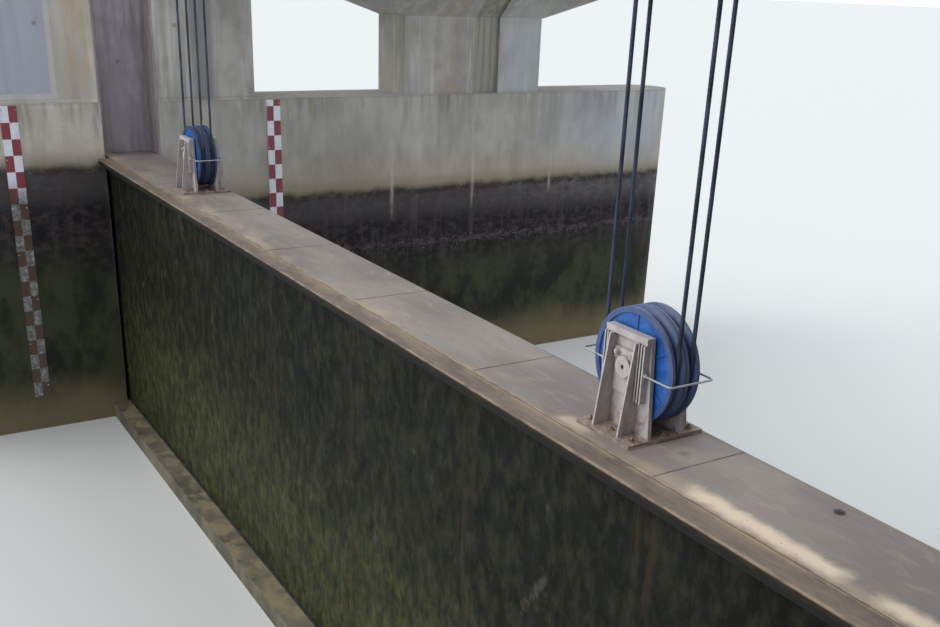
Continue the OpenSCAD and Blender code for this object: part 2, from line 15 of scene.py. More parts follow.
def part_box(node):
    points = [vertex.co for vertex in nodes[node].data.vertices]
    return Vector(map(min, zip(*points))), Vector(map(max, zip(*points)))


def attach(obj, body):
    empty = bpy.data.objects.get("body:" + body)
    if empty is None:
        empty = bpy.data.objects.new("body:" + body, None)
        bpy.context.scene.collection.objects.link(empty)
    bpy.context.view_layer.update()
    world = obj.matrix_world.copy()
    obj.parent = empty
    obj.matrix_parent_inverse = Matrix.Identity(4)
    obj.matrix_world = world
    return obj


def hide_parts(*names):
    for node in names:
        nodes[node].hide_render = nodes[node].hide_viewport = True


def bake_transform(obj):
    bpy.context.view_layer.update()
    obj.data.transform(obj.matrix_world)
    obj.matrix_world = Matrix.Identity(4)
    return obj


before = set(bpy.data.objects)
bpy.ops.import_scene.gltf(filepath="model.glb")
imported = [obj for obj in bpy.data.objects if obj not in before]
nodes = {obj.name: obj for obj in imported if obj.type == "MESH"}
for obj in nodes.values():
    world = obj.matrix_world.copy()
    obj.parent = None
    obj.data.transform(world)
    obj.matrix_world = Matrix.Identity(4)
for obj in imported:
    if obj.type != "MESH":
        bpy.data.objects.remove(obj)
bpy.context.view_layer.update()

# %% [markdown]
# ## Places taken from the frame
# Each added piece and each stain sits on a CAD piece, so its place is worked out from that piece's
# box. It could be typed in as a number, but then a change in the CAD model would leave it behind.
# All lengths are in metres. X runs along the gate, Y downstream, Z up.

# %% Places on the CAD pieces
gate_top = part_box("top_plate")[1].z
plate_back_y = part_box("top_plate")[1].y
skin_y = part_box("skin_plate")[0].y
face_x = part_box("right_wall_upstream")[0].x
slot_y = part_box("right_wall_upstream")[1].y
slot_end_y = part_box("right_wall_downstream")[0].y
slot_middle_y = (slot_y + slot_end_y) / 2
wall_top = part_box("right_wall_upstream")[1].z
print("gate top", round(gate_top, 3), "wall top", round(wall_top, 3), "pier face", round(face_x, 3))

# %% [markdown]
# ## The camera
# The view is from beside the right pier, down on to the gate. The lens could look down less and have
# no shift, but then the columns would stand more upright than they do in the picture. So it looks
# 22 degrees down, and a small shift moves the frame up. The near pier stands between the camera and
# the gate, so the camera's clip start lies beyond it.

# %% Camera at the photograph's viewing angle
FRAME_WIDTH = 940
SENSOR = 36.0
FOCAL_PIXELS = 1048.6
FRAME_SHIFT = 0.10
PAST_NEAR_PIER = 3.3
FAR_CLIP = 2500
CAMERA_PLACE = Vector((7.841, -6.441, 5.875))
CAMERA_YAW, CAMERA_PITCH, CAMERA_ROLL = 57.45, 22.06, 2.27


def make_camera():
    data = bpy.data.cameras.new("camera")
    data.sensor_width = SENSOR
    data.lens = FOCAL_PIXELS / FRAME_WIDTH * SENSOR
    data.shift_y = FRAME_SHIFT
    data.clip_start = PAST_NEAR_PIER
    data.clip_end = FAR_CLIP
    camera = bpy.data.objects.new("camera", data)
    bpy.context.scene.collection.objects.link(camera)
    turn = (Matrix.Rotation(math.radians(CAMERA_YAW), 4, "Z")
            @ Matrix.Rotation(math.radians(90 - CAMERA_PITCH), 4, "X")
            @ Matrix.Rotation(math.radians(CAMERA_ROLL), 4, "Z"))
    camera.matrix_world = Matrix.Translation(CAMERA_PLACE) @ turn
    bpy.context.scene.camera = camera


make_camera()
print("lens", round(bpy.context.scene.camera.data.lens, 2), "mm")

# %% [markdown]
# ## Light and floor
# The gate stands in the open shade of its own deck. An even pale sky gives nearly all the light,
# and one very wide sun adds a soft side to it. Many small lamps could do the same, but the sky and
# one sun have fewer numbers to keep in balance. A real floor takes the shadows.

# %% Sky and sun
SKY_COLOUR, SKY_LEVEL = (0.88, 0.94, 1.0, 1), 1.12
SUN_COLOUR, SUN_LEVEL, SUN_SPREAD = (1.0, 0.97, 0.92), 1.35, 50
TOWARD_SUN = Vector((-0.25, -0.80, 0.72))


def make_sky():
    world = bpy.data.worlds.new("sky")
    world.use_nodes = True
    back = world.node_tree.nodes["Background"]
    back.inputs["Color"].default_value = SKY_COLOUR
    back.inputs["Strength"].default_value = SKY_LEVEL
    bpy.context.scene.world = world


def make_sun():
    data = bpy.data.lights.new("sun", "SUN")
    data.energy = SUN_LEVEL
    data.angle = math.radians(SUN_SPREAD)
    data.color = SUN_COLOUR
    sun = bpy.data.objects.new("sun", data)
    bpy.context.scene.collection.objects.link(sun)
    sun.matrix_world = TOWARD_SUN.to_track_quat("Z", "Y").to_matrix().to_4x4()


make_sky()
make_sun()
bpy.context.scene.view_settings.view_transform = "Standard"
print("sky", SKY_LEVEL, "sun", SUN_LEVEL)

# %% The floor
FLOOR_HALF = 900
FLOOR_COLOUR, FLOOR_ROUGHNESS = (0.66, 0.66, 0.65, 1), 0.9


def make_floor():
    mesh = bpy.data.meshes.new("floor")
    corners = [(-1, -1), (1, -1), (1, 1), (-1, 1)]
    mesh.from_pydata([(x * FLOOR_HALF, y * FLOOR_HALF, 0) for x, y in corners], [], [range(4)])
    floor = bpy.data.objects.new("floor", mesh)
    bpy.context.scene.collection.objects.link(floor)
    pale = bpy.data.materials.new("pale_floor")
    pale.use_nodes = True
    surface = pale.node_tree.nodes["Principled BSDF"]
    surface.inputs["Base Color"].default_value = FLOOR_COLOUR
    surface.inputs["Roughness"].default_value = FLOOR_ROUGHNESS
    mesh.materials.append(pale)


make_floor()
print("floor", 2 * FLOOR_HALF, "m wide")

# %% [markdown]
# ## Node helpers
# A finish is a chain of nodes. It could be wired by hand in the editor, but one weathered wall takes
# over a hundred of them. So two small classes do the wiring. Each method adds a node or two and
# returns the output, and the finishes below read like recipes.

# %% Colours, and a chain of nodes
def paint(red, green, blue):
    """A colour given as 0 to 255 on the screen, as the linear colour that a shader takes."""
    def linear(value):
        share = value / 255
        return share / 12.92 if share <= 0.04045 else ((share + 0.055) / 1.055) ** 2.4
    return (linear(red), linear(green), linear(blue), 1.0)


class NodeChain:
    """Adds nodes to a tree. An input may be a number, a colour or another node's output."""

    def __init__(self, tree):
        self.tree = tree

    def add(self, kind, inputs=None, **settings):
        node = self.tree.nodes.new(kind)
        for name, value in settings.items():
            setattr(node, name, value)
        for key, value in (inputs or {}).items():
            self.feed(node.inputs[key], value)
        return node

    def feed(self, socket, value):
        if isinstance(value, bpy.types.NodeSocket):
            self.tree.links.new(value, socket)
        else:
            socket.default_value = value

    def calc(self, operation, a, b=0.0):
        return self.add("ShaderNodeMath", {0: a, 1: b}, operation=operation).outputs[0]

    def plus(self, a, b):
        return self.calc("ADD", a, b)

    def minus(self, a, b):
        return self.calc("SUBTRACT", a, b)

    def times(self, *factors):
        """The product. Of masks from 0 to 1, it is 1 only where all of them are."""
        result = factors[0]
        for factor in factors[1:]:
            result = self.calc("MULTIPLY", result, factor)
        return result


print("mid grey on the screen is", round(paint(128, 128, 128)[0], 3), "in the shader")

# %% [markdown]
# ### Masks
# A mask is a number from 0 to 1 that says where a stain lies. It could be painted on each piece by
# hand, but here it is worked out from a place, such as a height, or from cloudy noise. All of them
# read Object coordinates, so a pattern stays on its piece when the piece moves.

# %% Masks from places and clouds
class MaskChain(NodeChain):
    """Masks worked out from the place of each point, in metres."""

    def __init__(self, tree):
        super().__init__(tree)
        self.place = self.add("ShaderNodeTexCoord").outputs["Object"]
        self.x, self.y, self.z = self.add("ShaderNodeSeparateXYZ", {0: self.place}).outputs

    def between(self, value, low, high):
        """0 where value is under low, 1 where it is over high, and smooth in between."""
        return self.add("ShaderNodeMapRange", {0: value, 1: low, 2: high},
                        interpolation_type="SMOOTHSTEP").outputs[0]

    def inverse(self, mask):
        return self.minus(1.0, mask)

    def under(self, value, level, soft):
        """1 below a level, 0 above level + soft."""
        return self.inverse(self.between(value, level, level + soft))

    def band(self, value, middle, half, soft):
        """1 where value is within half of middle, and 0 beyond a soft edge."""
        return self.under(self.calc("ABSOLUTE", self.minus(value, middle)), half, soft)

    def distance(self, a, b):
        return self.calc("SQRT", self.plus(self.calc("POWER", a, 2.0), self.calc("POWER", b, 2.0)))

    def noise(self, size, seed, x=1, y=1, z=1, detail=4, rough=0.55, warp=0.0):
        """Clouds round 0.5, about size metres across, and x, y or z times longer that way."""
        moved = self.add("ShaderNodeMapping", {
            "Vector": self.place, "Scale": [1 / (size * longer) for longer in (x, y, z)],
            "Location": (seed * 7.3, seed * 3.1, seed * 5.7)})
        return self.add("ShaderNodeTexNoise", {
            "Vector": moved.outputs[0], "Scale": 1.0, "Detail": detail, "Roughness": rough,
            "Distortion": warp}).outputs[0]

    def patches(self, size, low, high, seed, **cloud):
        """Noise as a mask: 0 where the clouds are under low, 1 where they are over high."""
        return self.between(self.noise(size, seed, **cloud), low, high)

    def streaks(self, width, length, low, high, seed):
        """Stains that ran down a face: thin across and long in height."""
        return self.patches(width, low, high, seed, z=length / width, detail=5, rough=0.6, warp=0.3)

    def sway(self, swing, size, seed, **cloud):
        """A chance shift to both sides, which makes a straight stain wander."""
        return self.times(self.minus(self.noise(size, seed, **cloud), 0.5), swing)

    def ragged_z(self, size, swing, seed):
        """Z, moved up and down by clouds, so that a water line wanders."""
        return self.plus(self.z, self.sway(swing, size, seed, detail=5, rough=0.65))

    def cells(self, size, seed):
        """Distance to the nearest of many scattered points about size metres apart."""
        moved = self.add("ShaderNodeMapping", {"Vector": self.place, "Scale": [1 / size] * 3,
                                               "Location": (seed * 2.9, seed * 4.7, seed * 1.9)})
        return self.add("ShaderNodeTexVoronoi", {"Vector": moved.outputs[0],
                                                 "Scale": 1.0}).outputs["Distance"]


# %% [markdown]
# ### Layers
# A recipe sets the bare colour first and then lays each stain over it with its masks, in the order
# in which the real ones came. Paint wears on edges, and corners are darkened with painted shade and
# dust. Two nodes know the shape of a piece there, so both masks need no drawing.

# %% A finish and its layers
class Finish(MaskChain):
    """One material, built up from a bare colour."""

    def __init__(self, name):
        self.material = bpy.data.materials.new(name)
        self.material.use_nodes = True
        super().__init__(self.material.node_tree)
        self.surface = self.tree.nodes["Principled BSDF"]
        self.colour = None

    def mix(self, share, a, b):
        """Colour a, with share of colour b laid over it."""
        return self.add("ShaderNodeMix", {0: share, 6: a, 7: b}, data_type="RGBA").outputs[2]

    def lay(self, colour, *masks):
        """Lays a colour over what is there, as strongly as all the masks together say."""
        self.colour = self.mix(self.times(*masks), self.colour, colour)

    def worn_edges(self, radius):
        """1 along edges, from the angle between the true surface and a rounded one."""
        rounded = self.add("ShaderNodeBevel", {"Radius": radius}, samples=6).outputs[0]
        true = self.add("ShaderNodeNewGeometry").outputs["Normal"]
        same = self.add("ShaderNodeVectorMath", {0: rounded, 1: true},
                        operation="DOT_PRODUCT").outputs["Value"]
        return self.between(same, 0.97, 0.80)

    def shaded_corners(self, reach):
        """1 deep in corners, where shade falls and dust and silt gather."""
        open_share = self.add("ShaderNodeAmbientOcclusion", {"Distance": reach},
                              samples=6).outputs["AO"]
        return self.between(open_share, 0.75, 0.25)

    def facing(self, axis):
        """The part of the surface's normal that lies along X, Y or Z."""
        normal = self.add("ShaderNodeNewGeometry").outputs["Normal"]
        return self.add("ShaderNodeSeparateXYZ", {0: normal}).outputs[axis]

    def done(self, roughness, height=None, depth=0.002, metallic=0.0, gloss=0.5):
        """Wires the shader. Height is worth depth metres of bump."""
        self.feed(self.surface.inputs["Base Color"], self.colour)
        self.feed(self.surface.inputs["Roughness"], roughness)
        self.feed(self.surface.inputs["Metallic"], metallic)
        self.feed(self.surface.inputs["Specular IOR Level"], gloss)
        if height is not None:
            bump = self.add("ShaderNodeBump", {"Height": height, "Strength": 1.0,
                                               "Distance": depth})
            self.feed(self.surface.inputs["Normal"], bump.outputs[0])
        print(self.material.name, "takes", len(self.tree.nodes), "nodes")
        return self.material


# %% [markdown]
# ## Concrete
# Old shuttered concrete is never one grey. It has broad clouds, a fine speckle and small pores,
# and water paints it: dark drips under each top edge, a rusty run beside the slot, white lime
# where a seam leaks, and black growth up to the usual water line. One picture could hold all that,
# but it would stretch and repeat over piers of this size. Noise in metres doesn't, so each layer is
# a function, and each part of the pier stacks the layers that it has.

# %% Bare concrete
DULL_GLOSS = 0.2
LIGHT_CONCRETE, DARK_CONCRETE = paint(198, 192, 183), paint(170, 164, 156)
# Greyer copies of the concrete, used as painted shade.
PAINTED_SHADE_PALE, PAINTED_SHADE_DEEP = paint(170, 166, 161), paint(142, 138, 134)
GREEN_STAIN, DARK_DRIP, PALE_RUN = paint(140, 138, 118), paint(124, 120, 113), paint(208, 203, 196)


def clouded(m, light, dark, seed):
    """The bare concrete: broad clouds over a finer mottle, with a dark speckle."""
    tone = m.plus(m.times(m.noise(1.6, seed), 0.6),
                  m.times(m.noise(0.22, seed + 1, z=1.6, detail=5), 0.4))
    speckle = m.patches(0.02, 0.58, 0.75, seed + 2, detail=3)
    return m.mix(m.times(speckle, 0.35), m.mix(m.between(tone, 0.40, 0.62), dark, light), DARK_DRIP)


def cast_skin(m):
    """Height of the cast skin: faint waves of the shutter, grain, and pores as pits."""
    waves = m.times(m.noise(0.6, 21, detail=2), 3.0)
    grain = m.noise(0.012, 22)
    pits = m.between(m.cells(0.055, 2), 0.03, 0.12)
    return m.plus(waves, m.plus(m.times(grain, 0.5), pits))


# %% [markdown]
# ### Drips and tie holes
# Water leaves dark marks under each top edge, and the ties that held the shutters left rows of
# patched holes. The drips fade over a length that changes along the wall. The holes lie on a grid
# that the remainder of a division gives, and a slow noise leaves most of them out.

# %% Drips from a top edge, and patched tie holes
def drips(m, top, reach, stain, strength, seed):
    """Water marks that hang down from a top edge by different lengths."""
    length = m.times(m.noise(0.5, seed, z=40, detail=2), reach * 2)
    fade = m.inverse(m.between(m.minus(top, m.z), 0.0, length))
    places = m.patches(0.8, 0.38, 0.62, seed + 5, z=6, detail=3)
    runs = m.streaks(0.11, 1.2, 0.42, 0.66, seed + 2)
    m.lay(stain, runs, places, fade, strength, m.calc("LESS_THAN", m.z, top - 0.002))


def tie_marks(m, spacing_y, spacing_z):
    """Patched holes of the shutter ties, on a grid with many of them missing."""
    def off_grid(value, spacing):
        share = m.calc("FRACT", m.calc("DIVIDE", value, spacing))
        return m.times(m.minus(share, 0.5), spacing)
    away = m.distance(off_grid(m.y, spacing_y), off_grid(m.z, spacing_z))
    spot = m.inverse(m.between(m.plus(away, m.sway(0.03, 0.05, 12, detail=3)), 0.012, 0.036))
    kept = m.patches(1.1, 0.50, 0.56, 11, detail=1)
    m.lay(paint(104, 96, 92), spot, kept, 0.6)


# %% [markdown]
# ### Growth below the water line
# Downstream the growth reaches about 2.96 m: a brown-green rim, then black crust with paler runs
# and a line of shells. Upstream the water is held higher, just under the top of the gate. Below the
# low water the wall is olive with algae, and silt lies at its foot. Two materials could meet at the
# slot, but one that shifts its level there needs only one recipe.

# %% Growth on the piers
UP_GROWTH_Z = gate_top - 0.07
DOWN_GROWTH_Z = 2.96
SHELL_LINE_Z = 2.06
CRUST_HEIGHT = 4.0
print("growth up to", round(UP_GROWTH_Z, 2), "upstream and", DOWN_GROWTH_Z, "downstream")


def crust_and_algae(m, level, crust):
    """What grows under water: black crust that dries paler, olive algae, and silt at the foot."""
    top = DOWN_GROWTH_Z
    m.colour = m.mix(m.between(crust, 0.42, 0.66), paint(28, 26, 31), paint(64, 54, 56))
    m.lay(paint(80, 74, 78), m.streaks(0.14, 1.1, 0.50, 0.70, 17), 0.50)
    faded = m.times(m.between(level, top - 0.62, top - 0.26), m.between(crust, 0.75, 0.35))
    sunny = m.plus(0.45, m.times(m.between(m.y, 1.5, 5.0), 0.35))
    m.lay(paint(106, 101, 101), faded, sunny)
    algae = m.mix(m.patches(0.4, 0.38, 0.62, 18, z=1.6, detail=7, rough=0.65), paint(32, 36, 28),
                  paint(60, 63, 43))
    m.lay(algae, m.under(level, top - 1.60, 0.75))
    m.lay(paint(124, 112, 86), m.under(m.ragged_z(0.7, 0.5, 19), 0.12, 0.75), 0.75)


def grown(m):
    """Lays growth, rim and shells over dry concrete. Gives the wet share and the crust's clouds."""
    top = DOWN_GROWTH_Z
    upstream = m.calc("LESS_THAN", m.y, slot_middle_y)
    level = m.minus(m.ragged_z(0.5, 0.20, 13), m.times(upstream, UP_GROWTH_Z - DOWN_GROWTH_Z))
    warm = m.times(m.under(level, top + 0.02, 0.60), m.inverse(m.times(upstream, 0.6)))
    m.lay(paint(160, 144, 120), warm, 0.55)
    m.lay(paint(116, 106, 84), m.under(level, top - 0.02, 0.22), 0.55)
    m.lay(paint(78, 74, 62), m.under(level, top - 0.06, 0.10), 0.80)
    crust = m.noise(0.13, 15, z=0.7, detail=8, rough=0.72)
    wet = m.under(level, top - 0.16, 0.16)
    dry_colour = m.colour
    crust_and_algae(m, level, crust)
    m.colour = m.mix(wet, dry_colour, m.colour)
    m.lay(paint(42, 40, 38), m.band(level, top - 0.09, 0.015, 0.05), m.between(crust, 0.34, 0.56), 0.75)
    shells = m.band(m.ragged_z(0.7, 0.20, 23), SHELL_LINE_Z, 0.012, 0.05)
    m.lay(paint(90, 80, 84), shells, m.between(crust, 0.38, 0.60), m.inverse(upstream), 0.45)
    return wet, crust


def done_with_growth(m, wet, crust, dry_roughness, depth):
    """Wires a pier finish. Wet growth is smoother than concrete, and stands out from it."""
    height = m.plus(cast_skin(m), m.times(wet, crust, CRUST_HEIGHT))
    return m.done(m.minus(dry_roughness, m.times(wet, 0.14)), height, depth, gloss=DULL_GLOSS)


# %% [markdown]
# ### Pier walls
# The walls are pale where they face the sun. Behind the slot they take a greyer copy of the
# concrete as painted shade, and on the bay side of the tail a bluish tint is a painted reflection
# of the sky. White lime has leaked down three shutter seams. Each run has a place along the wall,
# a foot and a head, and a slow noise makes it wander.

# %% Pier walls with their lime runs
LIME_RUNS = ((1.05, 2.37, 3.80), (2.48, 2.48, 4.19), (4.00, 2.59, 3.71))
LIME = paint(186, 176, 168)


def lime_runs(m):
    for index, (run_y, foot, head) in enumerate(LIME_RUNS):
        along = m.plus(m.y, m.sway(0.10, 0.4, 30 + index, z=3, detail=3))
        tall = m.times(m.between(m.z, foot, foot + 0.35), m.under(m.z, head - 0.5, 0.6))
        broken = m.patches(0.07, 0.28, 0.62, 40 + index, z=5)
        m.lay(LIME, m.band(along, run_y, 0.004, 0.040), tall, broken, 0.60)


def wall_finish(name):
    m = Finish(name)
    m.colour = clouded(m, LIGHT_CONCRETE, DARK_CONCRETE, 1)
    # Behind the slot the wall turns to the greyer concrete, which is painted shade.
    shaded = m.between(m.y, slot_middle_y - 0.2, slot_middle_y + 0.2)
    m.lay(clouded(m, PAINTED_SHADE_PALE, PAINTED_SHADE_DEEP, 4), shaded, 0.8)
    # On the bay side of the tail, a pale blue tint is a painted reflection of the sky.
    bay_side = m.calc("LESS_THAN", m.calc("ABSOLUTE", m.x), face_x + 0.02)
    m.lay(paint(168, 180, 198), m.between(m.y, 2.5, 6.5), bay_side, 0.45)
    m.lay(PALE_RUN, m.streaks(0.45, 1.8, 0.46, 0.72, 5), 0.25)
    m.lay(DARK_DRIP, m.streaks(0.30, 1.2, 0.50, 0.74, 7), 0.30)
    drips(m, wall_top, 0.55, DARK_DRIP, 0.85, 4)
    drips(m, wall_top, 1.30, GREEN_STAIN, 0.60, 9)
    m.lay(DARK_DRIP, m.under(m.minus(wall_top, m.z), 0.0, 0.035), 0.4)
    wet, crust = grown(m)
    lime_runs(m)
    m.lay(PALE_RUN, m.worn_edges(0.010), 0.30)
    return done_with_growth(m, wet, crust, 0.86, 0.0022)


finishes = {"wall_upstream": wall_finish("pier_concrete")}

# %% [markdown]
# ### Slot columns
# Above the wall each column was cast in its own shutter, so the joint shows as a line. The upstream
# column has a sunk panel with a bluer, smoother face, and a rusty run beside the slot. The panel
# could have a material of its own, but it is one solid with its column. So its depth behind the
# pier's face tells it apart.

# %% The panel and the runs of the slot columns
PANEL_DEPTH = 0.045


def sunk_panel(m):
    """Bluer concrete on the floor of the panel, and a pale slope round it."""
    depth = m.minus(m.calc("ABSOLUTE", m.x), face_x)
    near_face = m.calc("LESS_THAN", depth, PANEL_DEPTH + 0.015)
    floor = m.times(m.between(depth, PANEL_DEPTH - 0.007, PANEL_DEPTH - 0.002), near_face)
    slope = m.times(m.between(depth, 0.001, 0.004), m.minus(near_face, floor))
    blue = m.mix(m.noise(0.5, 63, z=2, detail=6), paint(150, 156, 168), paint(174, 178, 188))
    blue = m.mix(m.times(m.streaks(0.16, 2.5, 0.50, 0.72, 64), 0.35), blue, paint(138, 141, 150))
    m.lay(blue, floor)
    m.lay(paint(178, 178, 184), slope, 0.4)


def rusty_run(m):
    """The run on the upstream column, 0.2 m from the slot."""
    from_slot = m.plus(m.minus(slot_y, m.y), m.sway(0.16, 0.5, 65, z=4, detail=5))
    run = m.times(m.band(from_slot, 0.20, 0.06, 0.20), m.between(m.z, wall_top, wall_top + 0.5))
    m.lay(paint(184, 156, 124), run, m.patches(0.12, 0.3, 0.6, 66, z=4, detail=5), 0.5)


def downstream_runs(m):
    """Pale runs beside the slot and a dark one further off, on the downstream column."""
    off_slot = m.minus(m.y, slot_end_y)
    m.lay(PALE_RUN, m.under(off_slot, 0.03, 0.40), m.streaks(0.09, 2.0, 0.40, 0.62, 66), 0.6)
    wander = m.times(m.noise(0.5, 67, z=5), 0.4)
    m.lay(paint(114, 110, 118), m.band(m.plus(off_slot, wander), 0.86, 0.06, 0.20), 0.65)


# %% Slot columns
column_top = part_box("right_column_upstream")[1].z


def column_finish(name, upstream):
    m = Finish(name)
    # The downstream column is laid in the greyer concrete, as painted shade.
    light, dark = (LIGHT_CONCRETE, DARK_CONCRETE) if upstream else (PAINTED_SHADE_PALE, PAINTED_SHADE_DEEP)
    m.colour = clouded(m, light, dark, 2)
    m.lay(DARK_DRIP, m.streaks(0.35, 4.0, 0.44, 0.70, 61), 0.40)
    m.lay(PALE_RUN, m.streaks(0.20, 3.0, 0.52, 0.72, 62), 0.45)
    if upstream:
        sunk_panel(m)
        rusty_run(m)
    else:
        downstream_runs(m)
    tie_marks(m, 0.85, 0.95)
    joint = m.band(m.ragged_z(0.4, 0.03, 51), wall_top + 0.03, 0.004, 0.016)
    m.lay(PALE_RUN if upstream else DARK_DRIP, joint, 0.22 if upstream else 0.40)
    drips(m, column_top, 1.2, DARK_DRIP, 0.6, 68)
    m.lay(PALE_RUN, m.worn_edges(0.012), 0.35)
    return m.done(0.88, cast_skin(m), 0.0018)


finishes["column_upstream"] = column_finish("panel_column_concrete", True)
finishes["column_downstream"] = column_finish("column_concrete", False)

# %% [markdown]
# ### The slot's back
# The leaf slides past the slot's back and keeps it damp, so it is mauve-grey with dark runs. The
# same solid is also the pier's outer side, which has the walls' look. Both are mixed by how far
# from the middle of the bay a point lies.

# %% The slot's back
outer_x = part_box("right_slot_wall")[1].x


def slot_finish(name):
    m = Finish(name)
    m.colour = clouded(m, LIGHT_CONCRETE, DARK_CONCRETE, 1)
    m.lay(DARK_DRIP, m.streaks(0.25, 2.0, 0.50, 0.70, 7), 0.45)
    outer = m.colour
    m.colour = clouded(m, paint(186, 176, 182), paint(156, 147, 154), 3)
    m.lay(paint(124, 114, 124), m.streaks(0.08, 1.6, 0.46, 0.66, 71), 0.60)
    m.lay(paint(188, 178, 176), m.streaks(0.12, 2.2, 0.54, 0.74, 72), 0.40)
    m.lay(paint(102, 92, 98), m.streaks(0.05, 0.8, 0.60, 0.74, 73), 0.45)
    m.lay(outer, m.calc("GREATER_THAN", m.calc("ABSOLUTE", m.x), outer_x - 0.05))
    tie_marks(m, 0.37, 1.9)
    wet, crust = grown(m)
    return done_with_growth(m, wet, crust, 0.84, 0.0018)


finishes["slot_wall"] = slot_finish("slot_concrete")

# %% [markdown]
# ### Bridge column and cap
# The bridge column's groove is read from its own place. Inside the groove's width the stain is
# darker and greener, and it goes on up the flared cap, because water from the deck runs there.

# %% Bridge column and cap
bridge_low, bridge_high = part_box("right_bridge_column")
cap_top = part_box("right_bridge_cap")[1].z
GROOVE_OFFSET = 0.215
GROOVE_HALF = 0.2225
groove_y = (bridge_low.y + bridge_high.y) / 2 + GROOVE_OFFSET


def bridge_finish(name):
    m = Finish(name)
    # The bridge column is laid in the greyer concrete, as painted shade.
    m.colour = clouded(m, PAINTED_SHADE_PALE, PAINTED_SHADE_DEEP, 4)
    # Downstream of the groove, a pale blue tint is a painted reflection of the sky.
    m.lay(paint(180, 186, 194), m.between(m.y, groove_y, groove_y + 0.5),
          m.under(m.z, bridge_high.z - 0.2, 0.6), 0.5)
    m.lay(paint(140, 138, 126), m.streaks(0.4, 4.0, 0.46, 0.70, 81), 0.45)
    m.lay(PALE_RUN, m.streaks(0.18, 2.5, 0.54, 0.72, 82), 0.45)
    drips(m, cap_top, 0.9, DARK_DRIP, 0.6, 83)
    groove = m.calc("LESS_THAN", m.calc("ABSOLUTE", m.minus(m.y, groove_y)), GROOVE_HALF)
    green = m.mix(m.streaks(0.07, 1.6, 0.42, 0.66, 84), paint(152, 150, 134), paint(112, 112, 100))
    m.lay(green, groove, 0.7)
    wandering_y = m.plus(m.y, m.times(m.noise(0.4, 85, z=4), 0.3))
    m.lay(paint(168, 146, 118), m.band(wandering_y, groove_y - 0.48, 0.08, 0.22),
          m.streaks(0.10, 1.2, 0.36, 0.62, 86), 0.5)
    m.lay(GREEN_STAIN, m.band(wandering_y, bridge_low.y + 0.14, 0.03, 0.12),
          m.streaks(0.07, 1.2, 0.36, 0.60, 87), 0.6)
    m.lay(PALE_RUN, m.worn_edges(0.012), 0.3)
    return m.done(0.88, cast_skin(m), 0.0018)


finishes["bridge_column"] = bridge_finish("bridge_concrete")

# %% [markdown]
# ### Hoist deck and sill
# The hoist deck was cast in boards, which left seams every 175 mm and the grain of the wood. The
# sill lies under water, brown-green, with silt on what faces up.

# %% Hoist deck and sill
BOARD = 0.175
deck_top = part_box("hoist_deck")[1].z


def deck_finish(name):
    m = Finish(name)
    m.colour = clouded(m, paint(188, 184, 178), paint(162, 158, 153), 5)
    board = m.calc("FRACT", m.calc("DIVIDE", m.z, BOARD))
    seam = m.under(m.calc("ABSOLUTE", m.minus(board, 0.5)), 0.01, 0.03)
    m.lay(paint(128, 125, 120), seam, 0.35)
    drips(m, deck_top, 0.35, DARK_DRIP, 0.7, 91)
    wood_grain = m.noise(0.02, 92, x=16, y=16)
    height = m.plus(cast_skin(m), m.minus(wood_grain, m.times(seam, 2.0)))
    return m.done(0.88, height, 0.0018)


def sill_finish(name):
    m = Finish(name)
    m.colour = clouded(m, paint(112, 106, 90), paint(74, 72, 58), 6)
    silt = m.patches(0.3, 0.42, 0.60, 95, detail=6, rough=0.6)
    m.lay(paint(142, 128, 100), silt, m.between(m.facing("Z"), 0.4, 0.9), 0.8)
    return m.done(0.8, cast_skin(m), 0.0025)


finishes["hoist_deck"] = deck_finish("deck_concrete")
finishes["sill"] = sill_finish("sill_concrete")

# %% [markdown]
# ## Steel of the leaf
# The top of the leaf lies just above the water and is dusted with dried silt: brown-grey, with
# pale drifts along the lip and darker lines over the welds. Near the right pier, pale patches of
# sunlight are painted on it. They could be painted by hand, but bands with ragged edges put them
# where the real ones lie, and keep their ends soft.

# %% Silted top plate
DIAPHRAGM_PITCH = 1.724
# Where the painted patches of sunlight lie on the top.
SUN_PATCH_Y, SUN_PATCH_HALF = 0.130, 0.015
NEAR_SUN_PATCH_X, MIDDLE_SUN_PATCH_X, SMALL_SUN_PATCH_X = 6.16, 5.05, 3.66


def near_seams(m, width):
    """1 along the welds across the top, which lie over the diaphragms."""
    share = m.calc("FRACT", m.plus(m.calc("DIVIDE", m.x, DIAPHRAGM_PITCH), 100.0))
    off = m.times(m.calc("ABSOLUTE", m.minus(share, 0.5)), DIAPHRAGM_PITCH)
    return m.under(off, width, width * 2)


def painted_sun_patches(m, from_lip):
    """Pale patches of sunlight painted near the right pier, as masks with ragged edges."""
    ragged_x = m.plus(m.x, m.times(m.noise(0.12, 106, detail=5), 0.16))
    ragged_y = m.plus(from_lip, m.times(m.noise(0.10, 105, detail=5), 0.10))
    lit_patches = m.calc("MAXIMUM", m.band(ragged_x, MIDDLE_SUN_PATCH_X, 0.40, 0.14),
                   m.band(ragged_x, NEAR_SUN_PATCH_X, 0.34, 0.16))
    lit_patches = m.calc("MAXIMUM", lit_patches, m.times(m.band(ragged_x, SMALL_SUN_PATCH_X, 0.06, 0.12), 0.5))
    return m.times(lit_patches, m.band(ragged_y, SUN_PATCH_Y, SUN_PATCH_HALF, 0.075))


